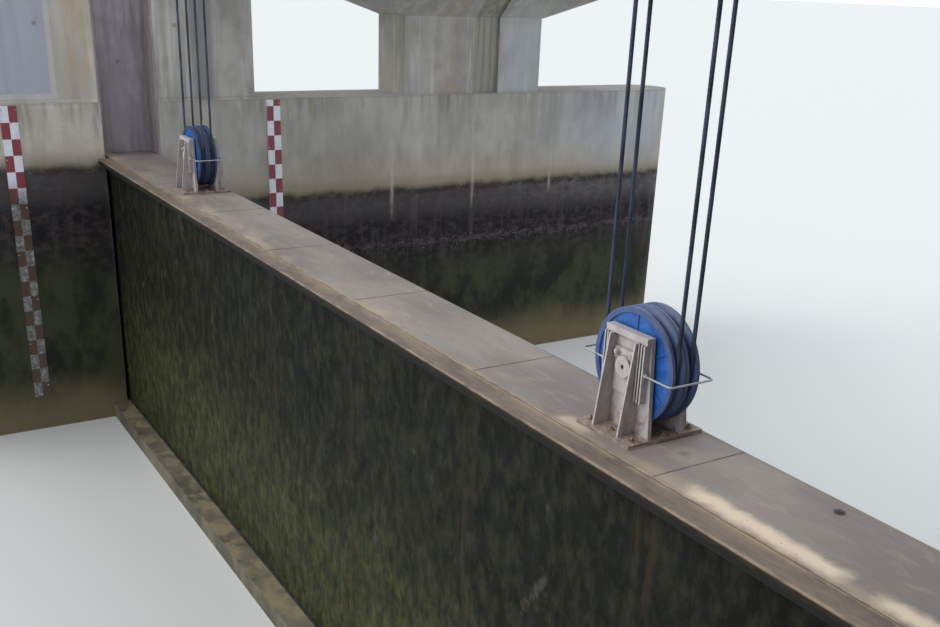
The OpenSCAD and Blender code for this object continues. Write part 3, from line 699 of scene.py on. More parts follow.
def silted_top_finish(name):
    m = Finish(name)
    m.colour = m.mix(m.patches(0.7, 0.35, 0.65, 101, x=2, detail=5), paint(120, 111, 106),
                     paint(143, 133, 126))
    wiped = m.noise(0.08, 102, x=3.0, detail=7, rough=0.7, warp=0.5)
    m.lay(paint(166, 153, 140), m.between(wiped, 0.50, 0.72), 0.50)
    m.lay(paint(106, 99, 95), m.between(wiped, 0.44, 0.28), 0.50)
    from_lip = m.minus(m.y, skin_y)
    drift = m.times(m.under(from_lip, 0.03, 0.22),
                    m.patches(0.30, 0.42, 0.62, 103, x=2.5, detail=7, rough=0.62))
    m.lay(paint(180, 160, 138), drift, 0.60)
    # Pale patches of painted sunlight near the right pier, which also raise the bump.
    silt = painted_sun_patches(m, from_lip)
    m.lay(paint(232, 212, 188), silt, 0.85)
    m.lay(paint(84, 76, 70), near_seams(m, 0.006), m.patches(0.12, 0.30, 0.60, 108, x=3), 0.3)
    m.lay(paint(84, 74, 66), m.under(m.cells(0.55, 5), 0.03, 0.06), 0.55)
    m.lay(paint(110, 100, 94), m.under(m.minus(plate_back_y, m.y), 0.0, 0.05), 0.3)
    m.lay(paint(170, 154, 136), m.worn_edges(0.006), 0.25)
    height = m.plus(m.noise(0.012, 104, x=1.5, detail=5), m.times(m.plus(drift, silt), 1.5))
    return m.done(m.plus(0.60, m.times(drift, 0.25)), height, 0.0016)


finishes["top_plate"] = silted_top_finish("silted_top")

# %% [markdown]
# ### The lip
# The lip is bent down at its outer edge. Feet and ropes rub it pale along the inner ridge, and a
# thin pale line along the outer edge is a painted highlight. Dirt stays in a strip between them, and
# the part that hangs near the water is rust-black. All of it is told apart by how far a point lies
# from the outer edge, and by its height.

# %% Rubbed lip
lip_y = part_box("top_lip")[0].y


def lip_finish(name):
    m = Finish(name)
    inward = m.minus(m.y, lip_y)
    dirt = m.noise(0.06, 111, x=3, detail=7, rough=0.68)
    m.colour = m.mix(m.between(dirt, 0.36, 0.66), paint(108, 98, 90), paint(130, 117, 106))
    rubbed = m.patches(0.35, 0.42, 0.62, 114, x=2)
    m.lay(paint(152, 133, 114), rubbed, m.between(inward, 0.02, 0.11), 0.45)
    # The thin pale line along the outer edge is a painted highlight.
    outer_edge_highlight = m.times(m.under(inward, 0.002, 0.008), m.between(dirt, 0.40, 0.60), 0.50)
    inner_ridge = m.times(m.between(inward, 0.100, 0.135), m.between(dirt, 0.34, 0.54), 0.35)
    m.lay(paint(168, 148, 125), m.calc("MAXIMUM", outer_edge_highlight, inner_ridge))
    m.lay(paint(92, 82, 72), m.band(m.plus(inward, m.times(dirt, 0.012)), 0.062, 0.002, 0.005), 0.30)
    rust = m.mix(m.noise(0.05, 112, x=2, detail=6), paint(30, 26, 23), paint(60, 47, 38))
    m.lay(rust, m.under(m.ragged_z(0.1, 0.01, 115), gate_top - 0.032, 0.012))
    m.lay(paint(28, 29, 23), m.under(m.ragged_z(0.16, 0.09, 116), gate_top - 0.050, 0.012), 0.9)
    return m.done(0.70, m.noise(0.016, 113, x=3, detail=6), 0.0015, gloss=DULL_GLOSS)


finishes["top_lip"] = lip_finish("rubbed_lip")

# %% [markdown]
# ### Skin and grid
# The skin and the grid behind it are coated steel that rust breaks through. What stands in water is
# covered with slime, nearly black near the surface and olive further down. The skin's wet face is
# covered all over, and the grid only up to the downstream water line.

# %% Rusting steel, and the slime on it
SKIN_FACE = 0.007


def slime_colour(m, felt):
    """Black slime, olive lower down, with rust that seeps from the seams."""
    slime = m.mix(m.between(felt, 0.40, 0.70), paint(20, 22, 18), paint(46, 47, 34))
    olive = m.mix(m.between(felt, 0.36, 0.70), paint(34, 38, 24), paint(72, 74, 44))
    slime = m.mix(m.under(m.ragged_z(0.8, 0.9, 130), 0.9, 1.6), slime, olive)
    seam_rust = m.times(near_seams(m, 0.05), m.streaks(0.06, 0.7, 0.46, 0.66, 131), 0.5)
    return m.mix(seam_rust, slime, paint(66, 50, 37))


def leaf_finish(name, skin=False):
    m = Finish(name)
    m.colour = m.mix(m.noise(0.5, 121), paint(70, 68, 66), paint(94, 91, 86))
    rusting = m.patches(0.20, 0.48, 0.62, 122, x=1.4, y=1.4, z=1.8, detail=8, rough=0.70)
    m.lay(m.mix(m.noise(0.05, 123, detail=6), paint(62, 42, 33), paint(108, 72, 48)), rusting, 0.8)
    m.lay(paint(92, 64, 48), m.streaks(0.05, 0.8, 0.54, 0.72, 124), 0.55)
    m.lay(paint(104, 72, 52), m.worn_edges(0.006), 0.6)
    felt = m.noise(0.10, 125, z=1.8, detail=8, rough=0.72)
    bare = m.patches(0.45, 0.62, 0.70, 127, z=1.4, detail=7, rough=0.66)
    wet = m.times(m.under(m.ragged_z(0.25, 0.5, 132), DOWN_GROWTH_Z - 0.9, 0.7), 0.75)
    if skin:
        wet = m.calc("MAXIMUM", wet, m.calc("LESS_THAN", m.y, skin_y + SKIN_FACE))
    m.lay(slime_colour(m, felt), m.inverse(m.times(bare, 0.6)), wet)
    dust = m.times(m.between(m.facing("Z"), 0.5, 0.9), m.patches(0.15, 0.35, 0.6, 128, detail=5))
    m.lay(paint(126, 114, 98), dust, 0.7)
    height = m.plus(m.noise(0.015, 129, detail=6), m.times(rusting, 0.8))
    height = m.plus(height, m.times(felt, wet, 3.0))
    return m.done(m.plus(0.62, m.times(rusting, 0.20)), height, 0.0014, gloss=0.12 if skin else 0.3)


finishes["skin_plate"] = leaf_finish("skin_steel", True)
finishes["girders"] = leaf_finish("grid_steel")

# %% [markdown]
# ## Paint of the lifting blocks
# The brackets carry a grey-beige paint, dusty and chipped to rust on their edges and near the base.
# Worn edges could be drawn as an image, but the node that rounds an edge already knows where one is,
# so paint wears there on every plate, and the pale line there is also a painted highlight. Sides
# that face along the gate are darker with painted shade, and corners with dust and painted shade.

# %% Brackets, bases and axles
def bracket_finish(name, base=False, painted_side_shade=0.5):
    """Grey-beige paint, darker on sides that face along the gate, as painted shade. A base plate is also
    rusty.
    """
    m = Finish(name)
    m.colour = m.mix(m.noise(0.2, 131), paint(176, 171, 170), paint(198, 192, 190))
    above = m.minus(m.z, gate_top)
    film = m.patches(0.05, 0.42, 0.66, 132, z=2.5, detail=7, rough=0.65)
    m.lay(paint(152, 138, 130), film, 0.50)
    # Sides that face along the gate are darkened as painted shade.
    side = m.calc("ABSOLUTE", m.facing("X"))
    m.lay(paint(112, 96, 92), m.between(side, 0.4, 0.9), painted_side_shade)
    m.lay(paint(138, 116, 104), m.under(above, 0.0, 0.25), m.between(film, 0.0, 0.7), 0.5)
    # Corners are darkened brown, with dust and painted shade.
    m.lay(paint(84, 70, 64), m.shaded_corners(0.035), 0.70)
    edge = m.worn_edges(0.004)
    # The pale line along each edge is wear and a painted highlight.
    m.lay(paint(214, 206, 196), edge, 0.5)
    m.lay(paint(120, 80, 60), edge, m.patches(0.016, 0.50, 0.58, 133, detail=5, rough=0.7), 0.85)
    bloom = m.patches(0.05, 0.58, 0.66, 134, detail=7, rough=0.7)
    m.lay(paint(122, 80, 60), bloom, m.plus(0.25, m.times(m.under(above, 0.0, 0.30), 0.7)))
    if base:
        m.lay(paint(136, 114, 102), 0.45)
        m.lay(paint(116, 90, 78), m.patches(0.05, 0.38, 0.60, 135, detail=7, rough=0.65), 0.7)
        m.lay(paint(158, 138, 118), m.patches(0.12, 0.48, 0.66, 136, detail=6), 0.5)
    height = m.minus(m.noise(0.006, 137), m.times(bloom, 1.2))
    return m.done(m.plus(0.50, m.times(film, 0.25)), height, 0.0008)


# How strongly the sides are darkened as painted shade; on the axle it makes a dark crescent at its end.
finishes["block_base"] = bracket_finish("base_paint", True)
finishes["brackets"] = bracket_finish("bracket_paint", painted_side_shade=0.40)
finishes["axle"] = bracket_finish("axle_paint", painted_side_shade=0.95)

# %% [markdown]
# ### Sheaves
# The sheaves are strong blue on the webs. On the rims and in the grooves grease has turned the blue
# dark and dull, most of all on the far block, and a line at each edge is rubbed pale. The groove
# floors and the recesses are darker still with painted shade. Each sheave is one solid, so the
# distance from its axle tells web and rim apart.

# %% Sheaves
axle_low, axle_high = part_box("right_axle")
sheave_low, sheave_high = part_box("right_sheave_front")
block_x = (axle_low.x + axle_high.x) / 2
block_y = (axle_low.y + axle_high.y) / 2
axle_z = (sheave_low.z + sheave_high.z) / 2
sheave_radius = (sheave_high.z - sheave_low.z) / 2
SHEAVE_GAP = 0.005
sheave_off_y = (sheave_high.y - sheave_low.y) / 2 + SHEAVE_GAP / 2
print("block at", round(block_x, 3), round(block_y, 3), "axle at", round(axle_z, 3))


def grease_colour(m, up, far_block):
    """Blue-grey grease, darker low down and nearly black on the far block."""
    grease = m.mix(m.noise(0.03, 143, y=0.4, detail=6), paint(54, 70, 104), paint(84, 100, 136))
    grease = m.mix(m.times(m.under(up, -0.20, 0.25), 0.8), grease, paint(40, 54, 84))
    return m.mix(m.times(far_block, 0.7), grease, paint(28, 36, 60))


def greased_rim(m, up, smear):
    """Lays grease on rims and grooves, thicker where dust sticks to it, and painted shade on the groove
    floors.
    """
    radius = m.distance(m.minus(m.calc("ABSOLUTE", m.x), block_x), up)
    off_groove = m.calc("ABSOLUTE", m.minus(m.calc("ABSOLUTE", m.minus(m.y, block_y)), sheave_off_y))
    groove = m.under(off_groove, 0.020, 0.010)

    def outside(depth, soft=0.006):
        return m.between(radius, sheave_radius - depth, sheave_radius - depth + soft)
    rim = m.calc("MAXIMUM", outside(0.034), m.times(groove, outside(0.050)))
    far_block = m.calc("LESS_THAN", m.x, 0.0)
    dusty = m.between(m.plus(up, m.times(smear, 0.15)), -0.12, 0.22)
    thick = m.calc("MAXIMUM", m.plus(0.55, m.times(dusty, 0.35)), m.times(far_block, 0.9))
    m.lay(grease_colour(m, up, far_block), rim, m.calc("MAXIMUM", thick, outside(0.006, 0.004)))
    # The floor of each groove is darkened as painted shade.
    groove_floor_shade = m.times(rim, groove, m.under(radius, sheave_radius - 0.03, 0.02))
    m.lay(paint(52, 64, 92), groove_floor_shade, 0.75)


def sheave_finish(name):
    m = Finish(name)
    up = m.minus(m.z, axle_z)
    mottle = m.patches(0.12, 0.34, 0.66, 141, detail=6, rough=0.6)
    m.colour = m.mix(mottle, paint(22, 68, 144), paint(42, 104, 184))
    smear = m.patches(0.05, 0.46, 0.70, 142, z=2, detail=7, rough=0.65)
    m.lay(paint(46, 68, 124), smear, 0.65)
    m.lay(paint(74, 110, 168), m.under(up, -0.25, 0.25), m.between(smear, 0.0, 0.8), 0.4)
    greased_rim(m, up, smear)
    # Dark blue in the recesses is painted shade.
    m.lay(paint(20, 34, 78), m.shaded_corners(0.02), 0.5)
    rubbed = m.times(m.worn_edges(0.004), m.patches(0.04, 0.35, 0.6, 144, detail=5))
    m.lay(paint(124, 140, 172), rubbed, 0.6)
    return m.done(m.plus(0.38, m.times(smear, 0.25)), m.noise(0.01, 145), 0.0006)


finishes["sheave_front"] = sheave_finish("sheave_blue")

# %% [markdown]
# ## Ropes, rods, rubber and bronze
# These are small but each has its own nature: greased wire, bright worn rod, dull rubber, and
# bronze shoes that rub clean. One metal for all would be quicker, but each wears in its own way.

# %% Small finishes
def rope_finish(name):
    m = Finish(name)
    m.colour = m.mix(m.patches(0.05, 0.35, 0.65, 151, z=4, detail=5), paint(38, 44, 58),
                     paint(66, 77, 100))
    return m.done(0.45, metallic=0.35)


def rod_finish(name):
    m = Finish(name)
    spots = m.patches(0.02, 0.56, 0.66, 153, detail=6, rough=0.7)
    m.colour = m.mix(m.times(spots, 0.7), paint(172, 172, 176), paint(118, 92, 76))
    return m.done(m.plus(0.34, m.times(spots, 0.4)), metallic=0.6)


def rubber_finish(name):
    m = Finish(name)
    bloom = m.patches(0.08, 0.45, 0.7, 155, z=3, detail=5)
    m.colour = m.mix(m.times(bloom, 0.5), paint(30, 30, 31), paint(70, 66, 58))
    return m.done(0.62, m.noise(0.01, 156), 0.0006)


def bronze_finish(name):
    m = Finish(name)
    rubbed = m.patches(0.05, 0.42, 0.62, 157, z=8)
    m.colour = m.mix(rubbed, paint(104, 82, 50), paint(160, 128, 76))
    return m.done(m.minus(0.55, m.times(rubbed, 0.2)), m.noise(0.004, 158, z=20, detail=3), 0.0004, 0.7)


def guide_finish(name):
    """Slot lining: dull grey-brown steel, rubbed where the shoes pass."""
    m = Finish(name)
    mottle = m.patches(0.10, 0.35, 0.65, 161, z=4, detail=7, rough=0.65)
    m.colour = m.mix(mottle, paint(142, 132, 132), paint(166, 157, 158))
    m.lay(paint(132, 106, 90), m.patches(0.06, 0.52, 0.64, 164, z=5, detail=7, rough=0.7), 0.4)
    m.lay(paint(176, 170, 170), m.patches(0.04, 0.50, 0.66, 162, z=25), 0.4)
    m.lay(paint(50, 48, 42), m.under(m.ragged_z(0.3, 0.2, 165), gate_top - 0.15, 0.15), 0.85)
    return m.done(0.62, m.noise(0.012, 163, z=3, detail=5), 0.001, 0.15)


finishes["ropes"] = rope_finish("greased_wire")
finishes["guard_bars"] = rod_finish("bright_rod")
finishes["seals"] = rubber_finish("seal_rubber")
finishes["slide_shoes"] = bronze_finish("shoe_bronze")
finishes["slot_guides"] = guide_finish("guide_steel")

# %% [markdown]
# ### Staff gauges
# The gauges are enamel boards with rows of 0.2 m in two columns of 0.1 m, red and white by turns.
# Each board could be cut into squares, but counting rows and columns from its corner gives the same
# squares in one material. On the downstream boards the top row is cut short, so its rows are offset.

# %% Checked enamel of the gauges
GAUGE_ROW = 0.2
GAUGE_COLUMN = 0.1
GAUGE_SHORT_ROW = 0.083
DOWN_GAUGE_DROP = 0.35
gauge_low, gauge_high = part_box("staff_gauges")
gauge_up_y = gauge_low.y
gauge_down_y = gauge_high.y - 2 * GAUGE_COLUMN


def checks(m, downstream):
    """0 on the white squares, 1 on the red ones."""
    start_y = m.plus(gauge_up_y, m.times(downstream, gauge_down_y - gauge_up_y))
    cut = m.times(downstream, GAUGE_ROW - GAUGE_SHORT_ROW)
    depth = m.plus(m.minus(gauge_high.z, m.z), cut)
    row = m.calc("FLOOR", m.calc("DIVIDE", depth, GAUGE_ROW))
    column = m.calc("FLOOR", m.calc("DIVIDE", m.minus(m.y, start_y), GAUGE_COLUMN))
    return m.calc("MODULO", m.plus(row, column), 2.0)


def gauge_finish(name):
    m = Finish(name)
    downstream = m.calc("GREATER_THAN", m.y, (gauge_up_y + gauge_down_y) / 2)
    white = m.mix(m.noise(0.08, 171), paint(204, 206, 216), paint(230, 230, 238))
    red = m.mix(m.noise(0.10, 172), paint(120, 52, 64), paint(142, 66, 76))
    m.colour = m.mix(checks(m, downstream), white, red)
    m.lay(paint(128, 112, 98), m.streaks(0.03, 0.5, 0.54, 0.74, 173), 0.35)
    drop = m.times(downstream, UP_GROWTH_Z - DOWN_GROWTH_Z + DOWN_GAUGE_DROP)
    water = m.plus(m.minus(UP_GROWTH_Z - 0.15, drop), m.times(m.noise(0.1, 174, detail=6), 0.12))
    sunk = m.between(m.minus(water, m.z), 0.0, 0.40)
    film = m.patches(0.05, 0.25, 0.60, 176, detail=7, rough=0.7)
    m.lay(paint(60, 60, 44), sunk, m.plus(0.45, m.times(film, 0.45)))
    chip = m.patches(0.02, 0.66, 0.70, 175, detail=6, rough=0.7)
    m.lay(paint(98, 68, 52), chip, 0.8)
    return m.done(0.42, m.inverse(chip), 0.0004)


finishes["staff_gauges"] = gauge_finish("gauge_enamel")

# %% [markdown]
# ## Dressing the CAD nodes
# Every CAD node takes one finish. It could be picked by hand for each, but left and right pieces
# share theirs, so the side is taken off the node's name before it is looked up.

# %% Give each CAD node its finish
sides = {"left": -1, "right": 1}
same_finish = {"wall_downstream": "wall_upstream", "bridge_cap": "bridge_column",
               "diaphragms": "girders", "end_plates": "girders", "rope_anchor": "girders",
               "sheave_rear": "sheave_front", "rope_turns": "ropes"}


def dress_cad_nodes():
    for name, piece in nodes.items():
        side, _, rest = name.partition("_")
        plain = rest if side in sides else name
        piece.data.materials.clear()
        piece.data.materials.append(finishes[same_finish.get(plain, plain)])


dress_cad_nodes()
print("finishes:", len(finishes))

# %% [markdown]
# ## Small pieces grown from a few points
# A bolt is drawn once and set down wherever a list has a point. A weld or a rope is drawn as a line
# of points and becomes a solid bead or a twisted strand. Each could be modelled by hand and copied,
# but Geometry Nodes keep the sizes as named inputs, so one number changes them all. Each tree has
# named inputs and a fixed seed, and its result is kept as a plain mesh that rides on its body.

# %% A Geometry Nodes tree with named inputs
class GrowthTree(NodeChain):
    """Numbers are given as name=default, and become the tree's inputs."""

    def __init__(self, name, **numbers):
        super().__init__(bpy.data.node_groups.new(name, "GeometryNodeTree"))
        face = self.tree.interface
        face.new_socket(name="Geometry", in_out="INPUT", socket_type="NodeSocketGeometry")
        for label, value in numbers.items():
            kind = "NodeSocketInt" if isinstance(value, int) else "NodeSocketFloat"
            face.new_socket(name=label, in_out="INPUT", socket_type=kind).default_value = value
        face.new_socket(name="Material", in_out="INPUT", socket_type="NodeSocketMaterial")
        face.new_socket(name="Geometry", in_out="OUTPUT", socket_type="NodeSocketGeometry")
        self.given = self.tree.nodes.new("NodeGroupInput").outputs

    def step(self, kind, inputs=None, **settings):
        return self.add("GeometryNode" + kind, inputs, **settings).outputs[0]

    def random(self, low, high, seed):
        """A random vector for each point."""
        return self.add("FunctionNodeRandomValue", {0: low, 1: high, "Seed": seed},
                        data_type="FLOAT_VECTOR").outputs[0]

    def stepped_curve(self):
        """The given line of points as a curve cut into short steps, and the length along it."""
        curve = self.step("MeshToCurve", {"Mesh": self.given["Geometry"]})
        curve = self.step("ResampleCurve", {"Curve": curve, "Length": self.given["Step"]}, mode="LENGTH")
        return curve, self.add("GeometryNodeSplineParameter").outputs["Length"]

    def turns(self, along, pitch):
        """An angle that goes once round for each pitch along a curve."""
        return self.times(self.calc("DIVIDE", along, pitch), 2 * math.pi)

    def finish(self, geometry, smooth):
        shaded = self.step("SetShadeSmooth", {"Geometry": geometry, "Shade Smooth": smooth})
        real = self.step("RealizeInstances", {"Geometry": shaded})
        dressed = self.step("SetMaterial", {"Geometry": real, "Material": self.given["Material"]})
        self.feed(self.tree.nodes.new("NodeGroupOutput").inputs[0], dressed)
        print(self.tree.name, "tree:", len(self.tree.nodes), "nodes")
        return self.tree


# %% Growing a piece from a tree
def grow(name, body, tree, finish, points, edges=(), faces=(), turn=None, ride=True, **numbers):
    """Runs a tree on points, and keeps the result as a plain mesh that rides on body."""
    source = bpy.data.meshes.new(name + "_source")
    source.from_pydata([tuple(p) for p in points], list(edges), list(faces))
    host = bpy.data.objects.new(name + "_host", source)
    bpy.context.scene.collection.objects.link(host)
    modifier = host.modifiers.new("growth", "NODES")
    modifier.node_group = tree
    values = dict(numbers, Material=finish)
    for item in tree.interface.items_tree:
        if item.in_out == "INPUT" and item.name in values:
            modifier[item.identifier] = values[item.name]
    ready = bpy.context.evaluated_depsgraph_get()
    mesh = bpy.data.meshes.new_from_object(host.evaluated_get(ready), depsgraph=ready)
    bpy.data.objects.remove(host)
    if turn is not None:
        mesh.transform(turn)
    piece = bpy.data.objects.new(name, mesh)
    bpy.context.scene.collection.objects.link(piece)
    print(name, len(mesh.polygons), "faces")
    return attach(piece, body) if ride else piece


# %% [markdown]
# ### Bolts
# Each bolt is a washer, a hexagon head and the end of a thread. Real ones stop at whatever angle
# they are tight, so the tree gives each a chance turn. It only knows bolts that look along Z, so the
# list of points is turned that way first, and the finished mesh is turned back.

# %% The bolt tree
ACROSS_WASHER = 1.45
THREAD_SHARE = 0.55
SIXTH_OF_A_TURN = 1.05


def bolt_tree():
    t = GrowthTree("bolts", Size=0.012, Height=0.012, Washer=0.003, Thread=0.006, Seed=1)
    size, height, washer, thread = (t.given[n] for n in ("Size", "Height", "Washer", "Thread"))

    def disc(vertices, radius, depth, middle):
        solid = t.step("MeshCylinder", {"Vertices": vertices, "Radius": radius, "Depth": depth})
        lift = t.add("ShaderNodeCombineXYZ", {"Z": middle}).outputs[0]
        return t.step("Transform", {"Geometry": solid, "Translation": lift})
    plate = disc(24, t.times(size, ACROSS_WASHER), washer, t.calc("DIVIDE", washer, 2.0))
    head = disc(6, size, height, t.plus(washer, t.calc("DIVIDE", height, 2.0)))
    end = t.plus(t.plus(washer, height), t.calc("DIVIDE", thread, 2.0))
    stud = disc(12, t.times(size, THREAD_SHARE), thread, end)
    bolt = t.add("GeometryNodeJoinGeometry")
    for part in (stud, head, plate):
        t.tree.links.new(part, bolt.inputs[0])
    angle = t.random((0, 0, 0), (0, 0, SIXTH_OF_A_TURN), t.given["Seed"])
    spin = t.add("FunctionNodeEulerToRotation", {0: angle})
    placed = t.step("InstanceOnPoints", {"Points": t.given["Geometry"], "Instance": bolt.outputs[0],
                                         "Rotation": spin.outputs[0]})
    return t.finish(placed, False)


bolts = bolt_tree()

# %% Finishes of the bolts, and a set of bolts that look one way
def plain_mottle(name, dark, light, size, roughness):
    """For small scattered pieces: two tones in clouds."""
    m = Finish(name)
    m.colour = m.mix(m.patches(size, 0.35, 0.65, 181), dark, light)
    return m.done(roughness)


rusty_bolt = plain_mottle("bolt_rust", paint(96, 72, 60), paint(158, 140, 126), 0.02, 0.7)
grey_bolt = plain_mottle("bolt_grey", paint(150, 142, 136), paint(206, 200, 194), 0.03, 0.5)
dark_plug = plain_mottle("plug_dirt", paint(60, 54, 50), paint(100, 90, 82), 0.02, 0.7)


def bolt_set(name, body, finish, toward, points, **numbers):
    """Bolts that look along one direction."""
    turn = Vector(toward).to_track_quat("Z", "Y").to_matrix().to_4x4()
    back = turn.inverted()
    grow(name, body, bolts, finish, [back @ Vector(p) for p in points], turn=turn, **numbers)


# %% [markdown]
# Eight bolts hold each block's base, and two hold each keeper over an axle's end. Two drain plugs
# sit in the top plate. The keeper's face is worked out outwards from the sheave, plate by plate.

# %% Bolts of the blocks, and the drain plugs
BOLT_ROW_Y, BOLT_LEFT, BOLT_RIGHT, BOLT_END = 0.205, -0.180, 0.178, 0.196
BASE_BOLTS = [(BOLT_LEFT, -BOLT_ROW_Y), (0.0, -BOLT_ROW_Y), (BOLT_RIGHT, -BOLT_ROW_Y),
              (-BOLT_END, 0.0), (BOLT_END, 0.0),
              (BOLT_LEFT, BOLT_ROW_Y), (0.0, BOLT_ROW_Y), (BOLT_RIGHT, BOLT_ROW_Y)]
CHEEK_GAP, BRACKET_PLATE, DOUBLER, KEEPER = 0.007, 0.024, 0.010, 0.012
KEEPER_BOLT_X, KEEPER_BOLT_UP = 0.062, 0.072
PLUG_X, PLUG_INSET = 5.03, 0.107
base_low, base_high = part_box("right_block_base")
bracket_face = block_y - (sheave_low.y - (CHEEK_GAP + BRACKET_PLATE))
keeper_face = bracket_face + DOUBLER + KEEPER
for side, sign in sides.items():
    x = sign * block_x
    bolt_set(side + "_base_bolts", "leaf", rusty_bolt, (0, 0, 1),
             [(x + dx, block_y + dy, base_high.z) for dx, dy in BASE_BOLTS],
             Size=0.016, Height=0.012, Washer=0.003, Thread=0.010, Seed=3)
    for face, out in (("front", -1), ("rear", 1)):
        bolt_set(f"{side}_{face}_keeper_bolts", "leaf", grey_bolt, (0, out, 0),
                 [(x + dx, block_y + out * keeper_face, axle_z + KEEPER_BOLT_UP)
                  for dx in (-KEEPER_BOLT_X, KEEPER_BOLT_X)],
                 Size=0.016, Height=0.018, Washer=0.003, Thread=0.004, Seed=5)

bolt_set("drain_plugs", "leaf", dark_plug, (0, 0, 1),
         [(sign * PLUG_X, plate_back_y - PLUG_INSET, gate_top) for sign in (-1, 1)],
         Size=0.020, Height=0.006, Washer=0.004, Thread=0.001, Seed=4)

# %% [markdown]
# A nut holds each end of the guard bars, small screws hold the gauges to the piers, and nuts hold
# the rope anchors from below.

# %% Nuts of the guard bars, gauge screws and anchor nuts
CHANNEL_OUT = 0.1675
ROD_RADIUS = 0.006
GAUGE_PLATE = 0.008
SCREW_ROWS, SCREW_SPACING, SCREW_TOP = 7, 0.6, 0.05
SCREW_INSET = 0.02
ANCHOR_PLATE, ANCHOR_INSET, ANCHOR_ROW_Y = 0.030, 0.04, 0.16
bar_low, bar_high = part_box("right_guard_bars")
bar_y = (bar_high.y - bar_low.y) / 2 - ROD_RADIUS
for side, sign in sides.items():
    x = sign * block_x
    for way, along in (("out", 1), ("in", -1)):
        bolt_set(f"{side}_bar_nuts_{way}", "leaf", grey_bolt, (along, 0, 0),
                 [(x + along * CHANNEL_OUT, block_y + dy, axle_z) for dy in (-bar_y, bar_y)],
                 Size=0.013, Height=0.012, Washer=0.003, Thread=0.003, Seed=7)
    rows = [gauge_high.z - SCREW_TOP - SCREW_SPACING * i for i in range(SCREW_ROWS)]
    bolt_set(side + "_gauge_screws", "root", grey_bolt, (-sign, 0, 0),
             [(sign * (face_x - GAUGE_PLATE), y, z) for z in rows
              for start in (gauge_up_y, gauge_down_y)
              for y in (start + SCREW_INSET, start + 2 * GAUGE_COLUMN - SCREW_INSET)],
             Size=0.006, Height=0.004, Washer=0.001, Thread=0.001, Seed=9)
    low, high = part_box(side + "_rope_anchor")
    ends = (low.x + ANCHOR_INSET, high.x - ANCHOR_INSET)
    nuts = [(end, y) for end in ends for y in (-ANCHOR_ROW_Y, 0.0, ANCHOR_ROW_Y)]
    nuts += [(x, -ANCHOR_ROW_Y), (x, ANCHOR_ROW_Y)]
    bolt_set(side + "_anchor_nuts", "root", rusty_bolt, (0, 0, -1),
             [(nut_x, block_y + dy, high.z - ANCHOR_PLATE) for nut_x, dy in nuts],
             Size=0.021, Height=0.018, Washer=0.004, Thread=0.020, Seed=11)

# %% [markdown]
# ### Welds
# A weld is a bead that swells and shrinks with each pass of the welder. It could be bump in the
# material alone, but it stands out from the plates, and its shadow shows. So the tree cuts a line
# of points into short steps and sweeps a small circle along it.

# %% The weld tree
def weld_tree():
    t = GrowthTree("welds", Size=0.005, Step=0.006, Ripple=0.25, Pass=0.014)
    curve, along = t.stepped_curve()
    swell = t.plus(1.0, t.times(t.calc("SINE", t.turns(along, t.given["Pass"])), t.given["Ripple"]))
    circle = t.step("CurvePrimitiveCircle", {"Resolution": 6, "Radius": t.given["Size"]})
    bead = t.step("CurveToMesh", {"Curve": curve, "Profile Curve": circle, "Scale": swell,
                                  "Fill Caps": True})
    return t.finish(bead, True)


welds = weld_tree()
silted_weld = plain_mottle("silted_weld", paint(84, 76, 70), paint(140, 129, 118), 0.20, 0.75)
dusty_weld = plain_mottle("dusty_weld", paint(128, 115, 102), paint(176, 158, 136), 0.10, 0.8)
painted_weld = plain_mottle("painted_weld", paint(128, 116, 108), paint(186, 178, 170), 0.04, 0.6)
leaf_weld = plain_mottle("leaf_weld", paint(66, 52, 42), paint(112, 88, 68), 0.05, 0.75)


def weld_lines(name, finish, lines, **numbers):
    """One bead on the leaf for each pair of end points."""
    points = [p for line in lines for p in line]
    edges = [(i, i + 1) for i in range(0, len(points), 2)]
    grow(name, "leaf", welds, finish, points, edges=edges, **numbers)


# %% [markdown]
# The top plate was welded across in eight places and the lip along its whole length. On the blocks,
# each gusset is welded on both of its sides, and each bracket and base plate along its edges.

# %% Welds of the top, the lip and the blocks
SEAM_XS = [side * DIAPHRAGM_PITCH / 2 * odd for side in (-1, 1) for odd in (1, 3, 5, 7)]
SEAM_INSET = 0.004
lip_low, lip_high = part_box("top_lip")
weld_lines("top_seams", silted_weld,
           [((x, skin_y + SEAM_INSET, gate_top), (x, plate_back_y - SEAM_INSET, gate_top)) for x in SEAM_XS],
           Size=0.0026, Step=0.005, Pass=0.012)
lip_seam_z = gate_top - 0.001
weld_lines("lip_seam", dusty_weld, [((lip_low.x, skin_y, lip_seam_z), (lip_high.x, skin_y, lip_seam_z))],
           Size=0.0035, Step=0.010, Pass=0.031, Ripple=0.2)

GUSSET_X, GUSSET_HALF, GUSSET_FOOT = 0.105, 0.006, 0.125
HEAD_BAR_FOOT, BRACKET_HEAD_HALF, BRACKET_FOOT_HALF = 0.551, 0.170, 0.215


def bracket_lines(x, out):
    """The welds on the outer face of one bracket."""
    face, foot, head = block_y + out * bracket_face, base_high.z, gate_top + HEAD_BAR_FOOT
    lines = []
    for gusset in (-GUSSET_X, GUSSET_X):
        for edge in (-GUSSET_HALF, GUSSET_HALF):
            side_x = x + gusset + edge
            lines.append(((side_x, face, foot), (side_x, face, head)))
            lines.append(((side_x, face, foot), (side_x, face + out * GUSSET_FOOT, foot)))
    lines.append(((x - BRACKET_HEAD_HALF, face, head), (x + BRACKET_HEAD_HALF, face, head)))
    lines.append(((x - BRACKET_FOOT_HALF, face, foot), (x + BRACKET_FOOT_HALF, face, foot)))
    return lines


